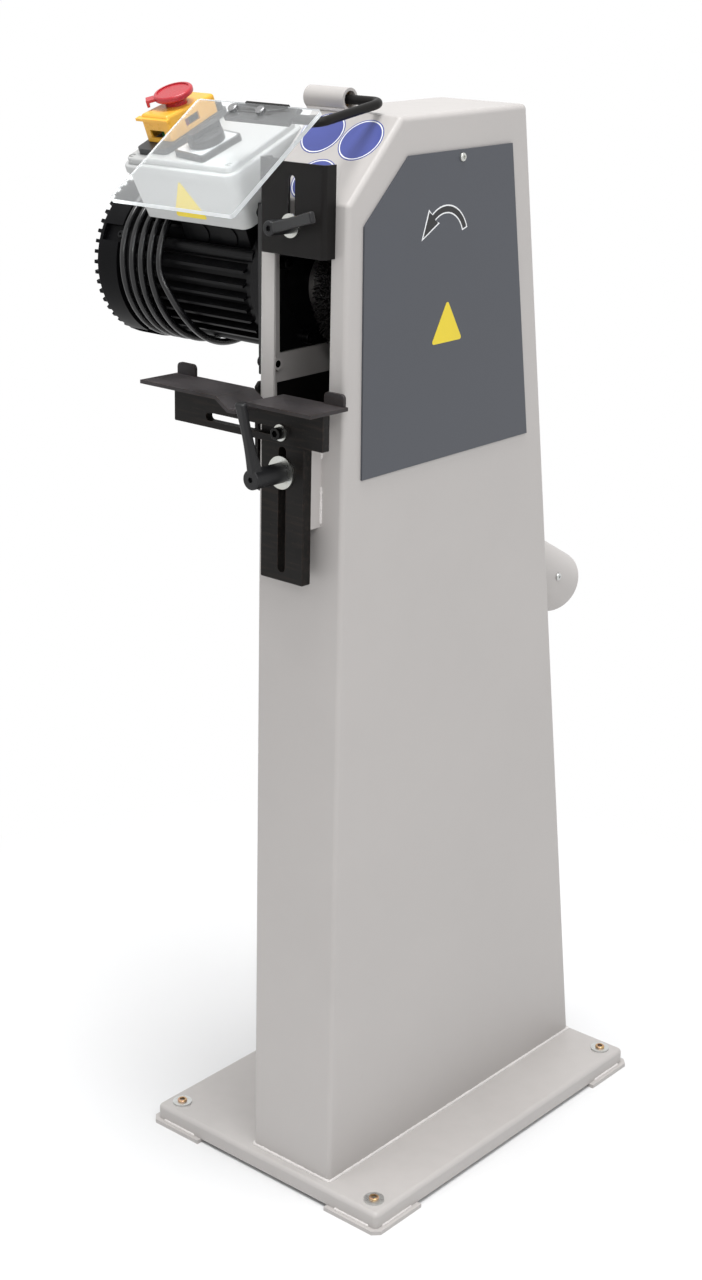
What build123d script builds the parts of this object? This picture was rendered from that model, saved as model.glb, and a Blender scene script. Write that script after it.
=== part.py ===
"""Brush deburring machine on a sheet-steel column, with its motor, switch box, guard, rest and shield.

Millimetres and degrees. X runs along the motor shaft towards the door side, Y runs from the
operator to the back, Z is up. The sizes below are laid out from the column: x = 0 at its middle,
y = 0 at the foot of its front, z = 0 at the floor. The finished pieces are shifted so that the
origin is at the bottom centre of the machine without its cable.
"""
from build123d import *
import os
from math import atan2, cos, degrees, hypot, pi, radians, sin, sqrt, tan

# Clearances
slide_gap = 0.1
running_gap = 0.04
pin_gap = 0.06
hole_gap = 0.3
button_gap = 0.3
bottom_gap = 1
merge_lap = 1
overrun = 10

# Foot
foot_plate_size = 82
foot_plate_thick = 5
foot_overhang = 6
foot_clip = 8
tray_reach_left = 153
tray_reach_right = 85
tray_front = 14
tray_reach_back = 6
tray_height = 20
tray_wall = 4
tray_bend = 6
level_inset = 22
level_radius = 6
level_rise = 5
level_lift = 0.5
level_socket_radius = 3.2
level_washer_radius = 12
level_washer_thick = 2.5

# Column
column_width = 124
column_depth = 486
column_top = 1250
column_wall = 3
column_bend = 6
column_top_back = 319
front_set_back = 20.5
chamfer_drop = 83
chamfer_run = 83.5
side_fold = 12
cap_lap = 12
opening_width = 80
opening_low_drop = 320
opening_high_drop = 125
motor_window = 141
cleaning_window_width = 130
cleaning_window_height = 104

# Cleaning cover over the lower left window
cleaning_front = 15
cleaning_width = 186
cleaning_height = 122
cleaning_drop = 404
cleaning_thick = 4
cleaning_clip = 10
cleaning_screw_inset = 12
cleaning_lap = 4

# Small button-head screws
screw_radius = 2.5
screw_head_radius = 4.75
screw_head_height = 2.7
screw_length = 9
screw_socket_radius = 1.7
screw_socket_depth = 1.6
head_dome_share = 0.6

# Extraction nozzle at the back
nozzle_radius = 40
nozzle_wall = 2
nozzle_length = 110
nozzle_drop = 550
nozzle_droop = 30
nozzle_screw_place = 62

# Side door
door_front = 43
door_low_drop = 374
door_high_drop = 40
door_slope_drop = 106
door_slope_top = 113
door_back_high = 291
door_back_low = 337
door_thick = 2.3
door_lap = 15
door_tab_width = 24
door_tab_reach = 9
door_tab_inset = 55
door_slot_height = 8
door_screw_y = 202
door_screw_inset = 8

# Motor on its mounting plate, with its axis along X
axis_y = 118
axis_drop = 184
motor_tilt = 22
motor_plate_size = 184
motor_plate_thick = 8
plate_bolt_inset = 12
bolt_radius = 4
bolt_head_radius = 6.5
bolt_head_height = 8
bolt_socket_radius = 3.4
bolt_socket_depth = 4
bolt_nut_thick = 6.5
flange_radius = 80
flange_thick = 24
flange_spigot_radius = 55
flange_spigot_length = 5
flange_bolt_circle = 130
flange_bolt_grip = 14
housing_radius = 70
housing_bore = 62
housing_length = 184.5
housing_collar_radius = 76
housing_collar_length = 9
fin_reach = 82
fin_thick = 3
fin_pitch = 14
fin_pairs = 3
tie_boss_offset = 53
tie_boss_radius = 7
rear_shield_thick = 20
cowl_radius = 92
cowl_length = 32.5
cowl_lap = 7
cowl_wall = 3
cowl_edge_round = 2.5
cowl_pocket_width = 19
cowl_pocket_floor = 86
cowl_hub_radius = 30
grille_radius = 76
grille_rib_count = 48
grille_rib_width = 4
grille_rib_depth = 5
grille_rib_inset = 0.8
stator_length = 96
stator_bore = 38
winding_length = 22
winding_outer = 59
winding_inner = 41
winding_round = 6
air_gap = 0.5
bearing_outer = 26
bearing_bore = 12.5
bearing_width = 15
shaft_out_radius = 12
shaft_out_length = 50
rotor_seat_radius = 14
shaft_tail_radius = 9
shaft_passage_gap = 1
fan_hub_radius = 15
fan_radius = 72
fan_disc_radius = 50
fan_disc_thick = 3
fan_width = 17
fan_blades = 9
fan_blade_thick = 3
fan_gap = 3

# Brush and its arbor, placed from the motor face
arbor_start = 16
arbor_hub_radius = 20
slinger_place = 30
slinger_radius = 45
slinger_thick = 8
arbor_barrel_radius = 25
brush_seat = 60
nose_radius = 16
nose_thread_radius = 15
nose_thread_end = 3
shaft_end_gap = 0.5
brush_width = 40
brush_core_radius = 42
brush_backing = 3
brush_radius = 75
strand_rows = 5
strands_per_row = 72
strand_radius = 1.3
clamp_flange_radius = 45
clamp_flange_thick = 8
nut_across_flats = 46
nut_thick = 12

# Switch box on the motor, in the tilted frame of the motor
pedestal_length = 100
pedestal_width = 75
pedestal_top = 94
pedestal_setback = 5
knockout_radius = 12
knockout_rise = 1.5
knockout_pitch = 43
knockout_drop = 25
box_place = 88
box_forward = 12
lid_length = 171
lid_width = 124
lid_height = 15
lid_flange_height = 8
lid_pad_inset = 5.5
lid_corner = 14
lid_edge_round = 2.5
box_rim_inset = 2
box_rim_height = 6
box_body_inset = 4
box_body_height = 50
box_draft = 3
box_wall = 3
box_screw_inset = 11.5
box_screw_radius = 2
box_screw_head_radius = 4.2
box_screw_head_height = 3
box_screw_sink = 4
box_screw_length = 24
box_pillar_radius = 6
contact_depth = 38
contact_width = 36

# Emergency stop with start and stop buttons under a flip cover, from the lid's front left corner
estop_u = 40.5
estop_v = 68
estop_base_length = 49
estop_base_width = 104
estop_base_height = 7
estop_base_corner = 7
cover_length = 42
cover_width = 76
cover_forward = -2
cover_lift = 0.6
cover_front_height = 31.5
cover_back_height = 23.5
cover_wall = 2.5
cover_edge_round = 4
cover_lip_length = 48
cover_lip_reach = 4
cover_lip_thick = 3
cover_window_length = 22
cover_window_height = 9
trunnion_radius = 2
trunnion_rise = 6
trunnion_setback = 4
knuckle_radius = 4
knuckle_length = 30
ear_radius = 3.6
ear_width = 5
mushroom_forward = -2
mushroom_radius = 22
mushroom_height = 7
mushroom_round = 2.5
mushroom_stem_radius = 12
mushroom_stem_top = 44
mushroom_skirt_low = 15
mushroom_skirt_high = 19
mushroom_skirt_drop = 3
mushroom_travel = 3
mushroom_rim = 4
mushroom_dish = 1.2
mushroom_tab_length = 9
mushroom_tab_width = 12
mushroom_tab_turn = 45
mushroom_tab_drop = 3
mushroom_tab_thick = 3
push_radius = 8
push_rise = 7
push_travel = 3
push_sink = 2
push_pitch = 22

# Rotary selector on the lid
selector_u = 104.5
selector_v = 41
selector_plate_length = 50
selector_plate_width = 58
selector_plate_height = 7
selector_plate_corner = 5
selector_turn = -8
selector_radius = 20
selector_height = 17
selector_grip_width = 11
selector_grip_height = 6
selector_shaft_radius = 4

# Cable with its gland and plug
cable_radius = 4
lead_first_run = 32
lead_crest = (48, 82, 136)
lead_turn = (30, 107, 101)
lead_last_run = 50
lead_corner_share = 0.45
gland_u = 15
gland_height = 26
gland_flange_radius = 11
gland_flange_length = 8
gland_shoulder = 2
gland_nose_radius = 6.5
gland_nose_length = 16
gland_thread_radius = 8
coil_turns = 5
coil_start = 214.3
coil_pitch = 14.6
coil_skew = 7
coil_late_slant = 60
coil_late_power = 6.3
coil_bow = 5.8
coil_reach = 95
coil_rise = 87
coil_loosening = 19
plug_radius = 18
plug_length = 40
plug_edge_round = 5
plug_relief_length = 26
plug_relief_radius = 9
plug_neck_wall = 1.5
plug_pin_radius = 2.4
plug_pin_length = 19
plug_pin_pitch = 19

# Guard plate at the head of the front opening
guard_width = 90
guard_stud_drop = 107
guard_below = 31
guard_above = 64
guard_depth = 18
guard_sheet = 3
guard_bend = 4.5
guard_slot_below = 12
guard_slot_above = 51
guard_stud_radius = 4
guard_slot_width = 9
guard_washer_radius = 12.5
guard_washer_thick = 2.5
guard_back_gap = 0.3
stud_nut_radius = 8
stud_nut_thick = 7

# Workpiece rest
rest_width = 62
rest_stud_drop = 366
bracket_reach = 60
bracket_depth = 16
rest_below = 121
rest_above = 58
rest_thick = 12
rest_slot_width = 11
rest_slot_below = 111
rest_slot_above = 28
rest_stud_radius = 5
rest_washer_radius = 18
rest_washer_thick = 3
bar_left = 152
bar_right = 66
bar_above = 34
bar_thick = 10
bar_slot_left = 104
bar_slot_width = 9
bar_screw_x = 7
bar_screw_above = 46
bar_washer_radius = 9
bar_washer_thick = 2
table_left = 173
table_right = 77
table_depth = 58
table_back_gap = 12
table_above = 80
table_thick = 4
groove_left = -58
groove_width = 44
groove_flat = 8
groove_depth = 11.5
tab_width = 27
tab_height = 13
tab_inset = 3
tab_corner = 5
steel_edge = 0.8

# Clamping levers
rest_hub_radius = 11
rest_hub_length = 46
rest_arm_root = 37
rest_arm_length = 88
rest_arm_turn = 0
guard_hub_radius = 8
guard_hub_length = 32
guard_arm_root = 25
guard_arm_length = 80
guard_arm_turn = -75
lever_lean = 16
lever_socket_radius = 3
lever_socket_depth = 4
lever_corner_share = 0.3
lever_tip_share = 0.25
# Places along the arm, each with its width and depth in hub radii
rest_arm_sections = ((0, 1.3, 1.4), (0.35, 0.95, 1.0), (1, 1.25, 0.8))
guard_arm_sections = ((0, 1.45, 1.4), (0.35, 1.4, 1.0), (1, 1.5, 0.8))

# Clear shield on its swinging arm
pivot_y = 111
pivot_tube_radius = 12
pivot_tube_wall = 3
pivot_left = 72
pivot_right = 16
bush_length = 12
bush_inset = 8
arm_radius = 5
arm_bend = 15
arm_right = 30
arm_end_gap = 0.4
collar_radius = 8.6
collar_length = 5
shield_left = 141
shield_right = 33
shield_drop = 160
shield_thick = 5
shield_corner = 4
shield_top_y = 12
shield_rise = 9
shield_slope = 35
shield_bar_left = 88
shield_bar_right = 2
shield_bar_width = 25
shield_bar_thick = 5
shield_bar_lip = 3
shield_stop_length = 60
shield_stop_thick = 3
shield_bolt_xs = (-82, -43)
shield_bolt_inset = 10
shield_bolt_radius = 3
shield_bolt_head_radius = 5.5
shield_bolt_head_height = 3.3
shield_nut_radius = 5.5
shield_nut_thick = 5

# Values worked out from the sizes above
tray_top = foot_plate_thick + tray_height
column_half = column_width / 2
tray_left = column_half + tray_reach_left
tray_right = column_half + tray_reach_right
tray_back = column_depth + tray_reach_back
chamfer_foot = column_top - chamfer_drop
opening_low = column_top - opening_low_drop
opening_high = column_top - opening_high_drop
cleaning_low = column_top - cleaning_drop
nozzle_height = column_top - nozzle_drop
door_low = column_top - door_low_drop
door_high = column_top - door_high_drop
door_slope_front = column_top - door_slope_drop
axis_z = column_top - axis_drop
guard_stud_height = column_top - guard_stud_drop
rest_stud_height = column_top - rest_stud_drop
bar_screw_height = rest_stud_height + bar_screw_above
table_top = rest_stud_height + table_above
front_angle = degrees(atan2(front_set_back, chamfer_foot - tray_top))
back_lean = (column_depth - column_top_back) / (column_top - tray_top)
cap_seam = chamfer_foot - cap_lap
motor_face = -column_half - motor_plate_thick
flange_end = motor_face - flange_thick
housing_end = flange_end - housing_length
rear_end = housing_end - rear_shield_thick
cowl_front = rear_end + cowl_lap
cowl_end = cowl_front - cowl_length
cleaning_window_top = cleaning_low + cleaning_height - cleaning_lap
pivot_z = column_top + pivot_tube_radius
nozzle_to_wall = radians(nozzle_droop) + atan2(back_lean, 1)
nozzle_inside = nozzle_radius * tan(nozzle_to_wall) + 2 * column_wall
box_draft_angle = degrees(atan2(box_draft, box_body_height))

CENTER_LOW = (Align.CENTER, Align.CENTER, Align.MIN)
ALONG_X = Rot(0, 90, 0)
ALONG_Y = Rot(-90, 0, 0)
MOTOR = Pos(0, axis_y, axis_z) * Rot(motor_tilt, 0, 0)
FRONT = Plane(
    origin=(0, 0, tray_top),
    x_dir=(1, 0, 0),
    z_dir=(0, -cos(radians(front_angle)), sin(radians(front_angle))),
).location
SHIELD = Plane(
    origin=(0, shield_top_y, column_top + shield_rise),
    x_dir=(1, 0, 0),
    z_dir=(0, -sin(radians(shield_slope)), cos(radians(shield_slope))),
).location
NOZZLE = Plane(
    origin=(0, column_depth - back_lean * (nozzle_height - tray_top), nozzle_height),
    x_dir=(1, 0, 0),
    z_dir=(0, cos(radians(nozzle_droop)), -sin(radians(nozzle_droop))),
).location


def up(height):
    """Distance along the leaning front for a height above the floor."""
    return (height - tray_top) / cos(radians(front_angle))


def block(xs, ys, zs):
    """Box between three (low, high) pairs."""
    spans = (xs, ys, zs)
    middle = [(low + high) / 2 for low, high in spans]
    return Pos(*middle) * Box(*[high - low for low, high in spans])


def bar(radius, low, high):
    """Round bar along Z."""
    return Pos(0, 0, low) * Cylinder(radius, high - low, align=CENTER_LOW)


def ring(outer, inner, low, high):
    """Round tube along Z."""
    return bar(outer, low, high) - bar(inner, low - overrun, high + overrun)


def hexagon(across_flats, low, high):
    """Hexagonal bar along Z."""
    return extrude(Pos(0, 0, low) * RegularPolygon(across_flats / 2, 6, major_radius=False), high - low)


def slab(length, width, low, high, corner):
    """Plate with rounded upright corners."""
    return extrude(Pos(0, 0, low) * RectangleRounded(length, width, corner), high - low)


def button_screw(length):
    """Button-head screw along Z: its head stands on z = 0 and its shank goes down."""
    head = bar(screw_head_radius, 0, screw_head_height)
    head = fillet(head.faces().sort_by(Axis.Z)[-1].edges(), screw_head_height * head_dome_share)
    socket = hexagon(2 * screw_socket_radius, screw_head_height - screw_socket_depth, screw_head_height)
    return head - socket + bar(screw_radius, -length, 0)


def cap_screw(length):
    """Socket cap screw along Z: its head stands on z = 0 and its shank goes down."""
    head = bar(bolt_head_radius, 0, bolt_head_height)
    head = fillet(head.faces().sort_by(Axis.Z)[-1].edges(), steel_edge)
    socket = hexagon(2 * bolt_socket_radius, bolt_head_height - bolt_socket_depth, bolt_head_height)
    return head - socket + bar(bolt_radius, -length, 0)


def make_foot():
    """Folded tray, its four corner plates and the levelling screws."""
    xs = (-tray_left, tray_right)
    ys = (-tray_front, tray_back)
    tray = block(xs, ys, (foot_plate_thick, tray_top))
    tray = fillet(tray.edges().filter_by(Axis.Z), tray_bend)
    tray = fillet(tray.faces().sort_by(Axis.Z)[-1].edges(), tray_bend)
    hollow_x = (xs[0] + tray_wall, xs[1] - tray_wall)
    hollow_y = (ys[0] + tray_wall, ys[1] - tray_wall)
    tray -= block(hollow_x, hollow_y, (foot_plate_thick - overrun, tray_top - tray_wall))
    plates = []
    screws = []
    for x, toward_x in ((xs[0], -1), (xs[1], 1)):
        for y, toward_y in ((ys[0], -1), (ys[1], 1)):
            outer_x = x + toward_x * foot_overhang
            outer_y = y + toward_y * foot_overhang
            plate_x = sorted((outer_x, outer_x - toward_x * foot_plate_size))
            plate_y = sorted((outer_y, outer_y - toward_y * foot_plate_size))
            plate = block(plate_x, plate_y, (0, foot_plate_thick))
            corner = plate.edges().filter_by(Axis.Z).sort_by_distance((outer_x, outer_y, 0))[0]
            plate = chamfer(corner, foot_clip)
            place = Pos(x - toward_x * level_inset, y - toward_y * level_inset, 0)
            hole = place * bar(level_radius, -overrun, tray_top + overrun)
            tray -= hole
            plates.append(plate - hole)
            screw = bar(level_radius, level_lift, tray_top + level_rise)
            screw = chamfer(screw.faces().sort_by(Axis.Z)[-1].edges(), steel_edge)
            socket_low = tray_top + level_rise - level_radius
            screw -= hexagon(2 * level_socket_radius, socket_low, tray_top + level_rise)
            washer = ring(level_washer_radius, level_radius, tray_top, tray_top + level_washer_thick)
            screws += [place * screw, place * washer]
    return {"base_tray": tray, "foot_plates": plates, "levelling_screws": screws}


def column_solid(inset, bend, foot_drop):
    """Column body drawn in by inset, its foot lowered by foot_drop along the leaning faces."""
    front_drop = foot_drop * front_set_back / (chamfer_foot - tray_top)
    outline = Polyline(
        (-front_drop, tray_top - foot_drop),
        (front_set_back, chamfer_foot),
        (front_set_back + chamfer_run, column_top),
        (column_top_back, column_top),
        (column_depth + foot_drop * back_lean, tray_top - foot_drop),
        close=True,
    )
    face = make_face(Plane.YZ * outline)
    if inset:
        face = offset(face, -inset, kind=Kind.INTERSECTION)
    solid = extrude(face, column_half - inset, both=True)
    foot = solid.faces().sort_by(Axis.Z)[0]
    edges = solid.edges() - foot.edges()
    return fillet(edges, bend)


def door_face(inset):
    """Outline of the door in the YZ plane, drawn in by inset."""
    outline = Polyline(
        (door_front, door_low),
        (door_back_low, door_low),
        (door_back_high, door_high),
        (door_slope_top, door_high),
        (door_front, door_slope_front),
        close=True,
    )
    face = make_face(Plane.YZ * outline)
    return offset(face, -inset, kind=Kind.INTERSECTION) if inset else face


def door_tabs(reach, width, height, start):
    """Two tabs that point inwards from the foot of the door."""
    tabs = []
    for y in (door_front + door_tab_inset, door_back_low - door_tab_inset):
        span_x = (column_half + start - reach, column_half + start)
        tabs.append(block(span_x, (y - width / 2, y + width / 2), (door_low, door_low + height)))
    return tabs


def column_cuts():
    """Everything that is cut out of the column's sheets."""
    left_wall = (-column_half - overrun, -column_half + overrun)
    right_wall = (column_half - overrun, column_half + overrun)
    half_opening = opening_width / 2
    half_window = motor_window / 2
    front_wall = (-overrun, front_set_back + overrun)
    cuts = [
        block((-half_opening, half_opening), front_wall, (opening_low, opening_high)),
        block(
            left_wall,
            (axis_y - half_window, axis_y + half_window),
            (axis_z - half_window, axis_z + half_window),
        ),
        cleaning_window(left_wall),
        Pos(right_wall[0], 0, 0) * extrude(door_face(door_lap), 2 * overrun, dir=(1, 0, 0)),
        NOZZLE * bar(nozzle_radius, -nozzle_inside - overrun, nozzle_length),
        FRONT * Pos(0, up(guard_stud_height), 0) * bar(guard_stud_radius, -overrun, overrun),
    ]
    cuts += door_tabs(2 * overrun, door_tab_width + 2 * hole_gap, door_slot_height, overrun)
    screw_hole = Pos(0, door_screw_y, door_high - door_screw_inset) * ALONG_X
    cuts.append(screw_hole * bar(screw_radius + 2 * hole_gap, right_wall[0], right_wall[1]))
    cuts += [place * bar(bolt_radius, *left_wall) for place in plate_bolt_places()]
    cuts += [place * bar(screw_radius, *left_wall) for place in cleaning_screw_places()]
    return cuts


def cleaning_window(wall):
    """Lower window in the left side, in the middle of its cover."""
    middle_y = cleaning_front + cleaning_width / 2
    span_y = (middle_y - cleaning_window_width / 2, middle_y + cleaning_window_width / 2)
    return block(wall, span_y, (cleaning_window_top - cleaning_window_height, cleaning_window_top))


def plate_bolt_places():
    """Axes along X of the four bolts that hold the motor plate on the column."""
    reach = motor_plate_size / 2 - plate_bolt_inset
    return [Pos(0, axis_y + y * reach, axis_z + z * reach) * ALONG_X for y in (-1, 1) for z in (-1, 1)]


def cleaning_screw_places():
    """Axes along X of the four screws of the cleaning cover."""
    cleaning_back = cleaning_front + cleaning_width
    ys = (cleaning_front + cleaning_screw_inset + column_bend, cleaning_back - cleaning_screw_inset)
    edge = cleaning_screw_inset / 2
    zs = (cleaning_low + edge, cleaning_low + cleaning_height - edge)
    return [Pos(0, y, z) * ALONG_X for y in ys for z in zs]


def make_column():
    """Welded column, parted along its seams into side, front, cap and back sheets."""
    shell = column_solid(0, column_bend, 0)
    shell -= column_solid(column_wall, column_bend - column_wall, 2 * overrun)
    shell = shell - column_cuts()
    seam = column_half - side_fold
    all_y = (-column_depth, 2 * column_depth)
    all_z = (0, 2 * column_top)
    far = column_half + overrun
    right = shell & block((seam, far), all_y, all_z)
    left = shell & block((-far, -seam), all_y, all_z)
    middle = shell & block((-seam, seam), all_y, all_z)
    cap = middle & block((-far, far), all_y, (cap_seam, 2 * column_top))
    lower = middle & block((-far, far), all_y, (0, cap_seam))
    sheets = lower.solids().sort_by(Axis.Y)
    return {
        "column_front": sheets[0],
        "column_cap": cap,
        "column_back": sheets[-1],
        "column_left_side": left,
        "column_right_side": right,
    }


def make_column_fittings():
    """Cleaning cover, extraction nozzle, rest bracket and the fixed studs."""
    cover = block(
        (-column_half - cleaning_thick, -column_half),
        (cleaning_front, cleaning_front + cleaning_width),
        (cleaning_low, cleaning_low + cleaning_height),
    )
    cover = chamfer(cover.edges().filter_by(Axis.X), cleaning_clip / 2)
    screws = []
    for place in cleaning_screw_places():
        cover -= place * bar(screw_radius, -column_half - overrun, -column_half + overrun)
        seat = Pos(0, 0, -column_half - cleaning_thick) * Rot(180, 0, 0)
        screws.append(place * seat * button_screw(screw_length))
    nozzle = ring(nozzle_radius, nozzle_radius - nozzle_wall, -nozzle_inside, nozzle_length)
    for turn in (0, 180):
        place = Rot(0, 0, turn) * Pos(nozzle_radius, 0, nozzle_screw_place) * ALONG_X
        nozzle -= place * bar(screw_radius, -overrun, overrun)
        screws.append(NOZZLE * place * button_screw(nozzle_wall))
    half = rest_width / 2
    bracket_span = (up(rest_stud_height - bracket_reach), up(rest_stud_height + bracket_reach))
    bracket = block((-half, half), bracket_span, (0, bracket_depth))
    bracket = fillet(bracket.edges().filter_by(Axis.Z), steel_edge)
    bracket -= Pos(0, up(rest_stud_height), 0) * bar(rest_stud_radius, -overrun, bracket_depth + overrun)
    studs = make_studs()
    return {
        "cleaning_cover": cover,
        "panel_screws": screws,
        "extraction_nozzle": NOZZLE * nozzle,
        "rest_bracket": FRONT * bracket,
        "clamp_studs": studs,
    }


def guard_seat():
    """Distance from the column front to the seat of the guard lever."""
    return guard_depth + guard_back_gap + 2 * slide_gap + guard_washer_thick


def rest_seat():
    """Distance from the column front to the seat of the rest lever."""
    return bracket_depth + rest_thick + 3 * slide_gap + rest_washer_thick


def make_studs():
    """Threaded studs of the guard and the rest, each with its broad washer."""
    guard_place = FRONT * Pos(0, up(guard_stud_height), 0)
    rest_place = FRONT * Pos(0, up(rest_stud_height), 0)
    guard_end = guard_seat() + guard_hub_length - lever_socket_depth - 2 * steel_edge
    rest_end = rest_seat() + rest_hub_length - lever_socket_depth - 2 * steel_edge
    guard_stud = bar(guard_stud_radius, -column_wall - stud_nut_thick, guard_end)
    guard_stud += bar(stud_nut_radius, -column_wall - stud_nut_thick, -column_wall)
    guard_washer_low = guard_seat() - guard_washer_thick
    rest_washer_low = rest_seat() - rest_washer_thick
    guard_washer = ring(guard_washer_radius, guard_stud_radius, guard_washer_low, guard_seat() - slide_gap)
    rest_washer = ring(rest_washer_radius, rest_stud_radius, rest_washer_low, rest_seat() - slide_gap)
    rest_stud = bar(rest_stud_radius, 0, rest_end)
    guard_pieces = [guard_place * piece for piece in (guard_stud, guard_washer)]
    return guard_pieces + [rest_place * piece for piece in (rest_stud, rest_washer)]


def make_door():
    """Door plate with its two bent tabs, and the screw that holds it at the top."""
    face_x = column_half + slide_gap
    plate = Pos(face_x, 0, 0) * extrude(door_face(0), door_thick, dir=(1, 0, 0))
    tabs = door_tabs(door_tab_reach + door_thick, door_tab_width, door_thick, slide_gap + door_thick)
    plate = plate + tabs
    place = Pos(0, door_screw_y, door_high - door_screw_inset) * ALONG_X * Pos(0, 0, face_x + door_thick)
    plate -= place * bar(screw_radius, -overrun, overrun)
    return {"door_panel": plate, "door_screw": place * button_screw(screw_length)}


def flange_bolt_places():
    """Axes along X of the four bolts between motor plate and motor flange."""
    reach = flange_bolt_circle / 2
    return [Rot(45 + 90 * turn, 0, 0) * Pos(0, 0, reach) * ALONG_X for turn in range(4)]


def make_motor_plate():
    """Mounting plate, its bolts and nuts to the column and the flange bolts of the motor."""
    half = motor_plate_size / 2
    span_y = (axis_y - half, axis_y + half)
    span_z = (axis_z - half, axis_z + half)
    plate = block((motor_face, -column_half), span_y, span_z)
    plate = fillet(plate.edges().filter_by(Axis.X), 2 * steel_edge)
    plate -= MOTOR * ALONG_X * bar(flange_spigot_radius, motor_face - overrun, overrun)
    bolts = []
    nuts = []
    grip = motor_plate_thick + column_wall
    nut = hexagon(2 * bolt_head_radius, 0, bolt_nut_thick) - bar(bolt_radius, -overrun, overrun)
    for place in plate_bolt_places():
        plate -= place * bar(bolt_radius, motor_face - overrun, overrun)
        bolts.append(place * Pos(0, 0, motor_face) * Rot(180, 0, 0) * cap_screw(grip + bolt_nut_thick))
        nuts.append(place * Pos(0, 0, motor_face + grip) * nut)
    for place in flange_bolt_places():
        plate -= MOTOR * place * bar(bolt_radius, motor_face - overrun, overrun)
        seat = Pos(0, 0, -column_half)
        bolts.append(MOTOR * place * seat * cap_screw(motor_plate_thick + flange_bolt_grip))
    return {"motor_plate": plate, "motor_bolts": bolts, "plate_nuts": nuts}


def make_motor_shells():
    """Flange shield, finned housing, rear shield and fan cowl, along X."""
    flange = bar(flange_radius, flange_end, motor_face)
    flange = fillet(flange.edges().filter_by(GeomType.CIRCLE), steel_edge)
    flange += bar(flange_spigot_radius, motor_face, motor_face + flange_spigot_length)
    flange -= bar(bearing_outer, flange_end - overrun, flange_end + bearing_width)
    flange -= bar(bearing_bore + shaft_passage_gap, flange_end, motor_face + overrun)
    flange = ALONG_X * flange
    for place in flange_bolt_places():
        flange -= place * bar(bolt_radius, motor_face - flange_bolt_grip, motor_face + overrun)
    rear = bar(fin_reach, rear_end, housing_end)
    rear -= bar(bearing_outer, housing_end - bearing_width, housing_end + overrun)
    rear -= bar(shaft_tail_radius + shaft_passage_gap, rear_end - overrun, housing_end)
    rear = ALONG_X * rear
    cowl = make_cowl()
    screws = []
    for place in cowl_screw_places():
        hole = place * bar(screw_radius, -screw_length, overrun)
        rear -= hole
        cowl -= hole
        screws.append(MOTOR * place * button_screw(screw_length))
    shells = {
        "motor_flange_shield": MOTOR * flange,
        "motor_housing": MOTOR * make_housing(),
        "motor_rear_shield": MOTOR * rear,
        "fan_cowl": MOTOR * cowl,
    }
    return shells, screws


def make_housing():
    """Finned housing tube with end collars and tie-bolt bosses."""
    tube = bar(housing_radius, housing_end, flange_end)
    collar_inner = housing_end + housing_collar_length
    collar_outer = flange_end - housing_collar_length
    added = [
        ALONG_X * bar(housing_collar_radius, housing_end, collar_inner),
        ALONG_X * bar(housing_collar_radius, collar_outer, flange_end),
    ]
    for side in range(4):
        boss = Rot(90 * side, 0, 0) * Pos(0, tie_boss_offset, tie_boss_offset) * ALONG_X
        added.append(boss * bar(tie_boss_radius, housing_end, flange_end))
        end = pedestal_left() - fin_thick if side == 1 else collar_outer
        for step in range(-fin_pairs, fin_pairs + 1):
            across = step * fin_pitch
            root = sqrt(housing_radius**2 - across**2) - fin_thick
            rise = (across - fin_thick / 2, across + fin_thick / 2)
            fin = block((collar_inner - merge_lap, end), (root, fin_reach), rise)
            added.append(Rot(90 * side, 0, 0) * fin)
    housing = (ALONG_X * tube).fuse(*added)
    housing = housing & (ALONG_X * bar(fin_reach, housing_end, flange_end))
    return housing - ALONG_X * bar(housing_bore, housing_end - overrun, flange_end + overrun)


def pedestal_left():
    """Left end of the pedestal, short of which the top fins stop."""
    return motor_face - box_place - pedestal_length / 2


def cowl_screw_places():
    """Radial places in the pockets of the cowl, with Z pointing outwards."""
    x = rear_end + cowl_lap / 2
    return [Rot(45 + 90 * turn, 0, 0) * Pos(x, 0, cowl_pocket_floor) for turn in range(4)]


def make_cowl():
    """Fan cowl: a drum with four screw pockets and a grille of radial ribs that stand out of its end."""
    cowl = bar(cowl_radius, cowl_end, cowl_front)
    cowl = fillet(cowl.faces().sort_by(Axis.Z)[0].edges(), cowl_edge_round)
    cowl -= bar(fin_reach, cowl_end + cowl_wall, cowl_front + overrun)
    cowl -= ring(grille_radius, cowl_hub_radius, cowl_end - overrun, cowl_end + cowl_wall + merge_lap)
    ribs = []
    rib_z = (cowl_end - grille_rib_depth, cowl_end + cowl_wall)
    half = grille_rib_width / 2
    rib_x = (cowl_hub_radius - half, cowl_radius - grille_rib_inset)
    for step in range(grille_rib_count):
        ribs.append(Rot(0, 0, 360 * step / grille_rib_count) * block(rib_x, (-half, half), rib_z))
    cowl = ALONG_X * cowl.fuse(*ribs)
    pocket = block(
        (cowl_end + 2 * cowl_wall, cowl_front + overrun),
        (-cowl_pocket_width / 2, cowl_pocket_width / 2),
        (cowl_pocket_floor, cowl_radius + overrun),
    )
    return cowl - [Rot(45 + 90 * turn, 0, 0) * pocket for turn in range(4)]


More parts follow.
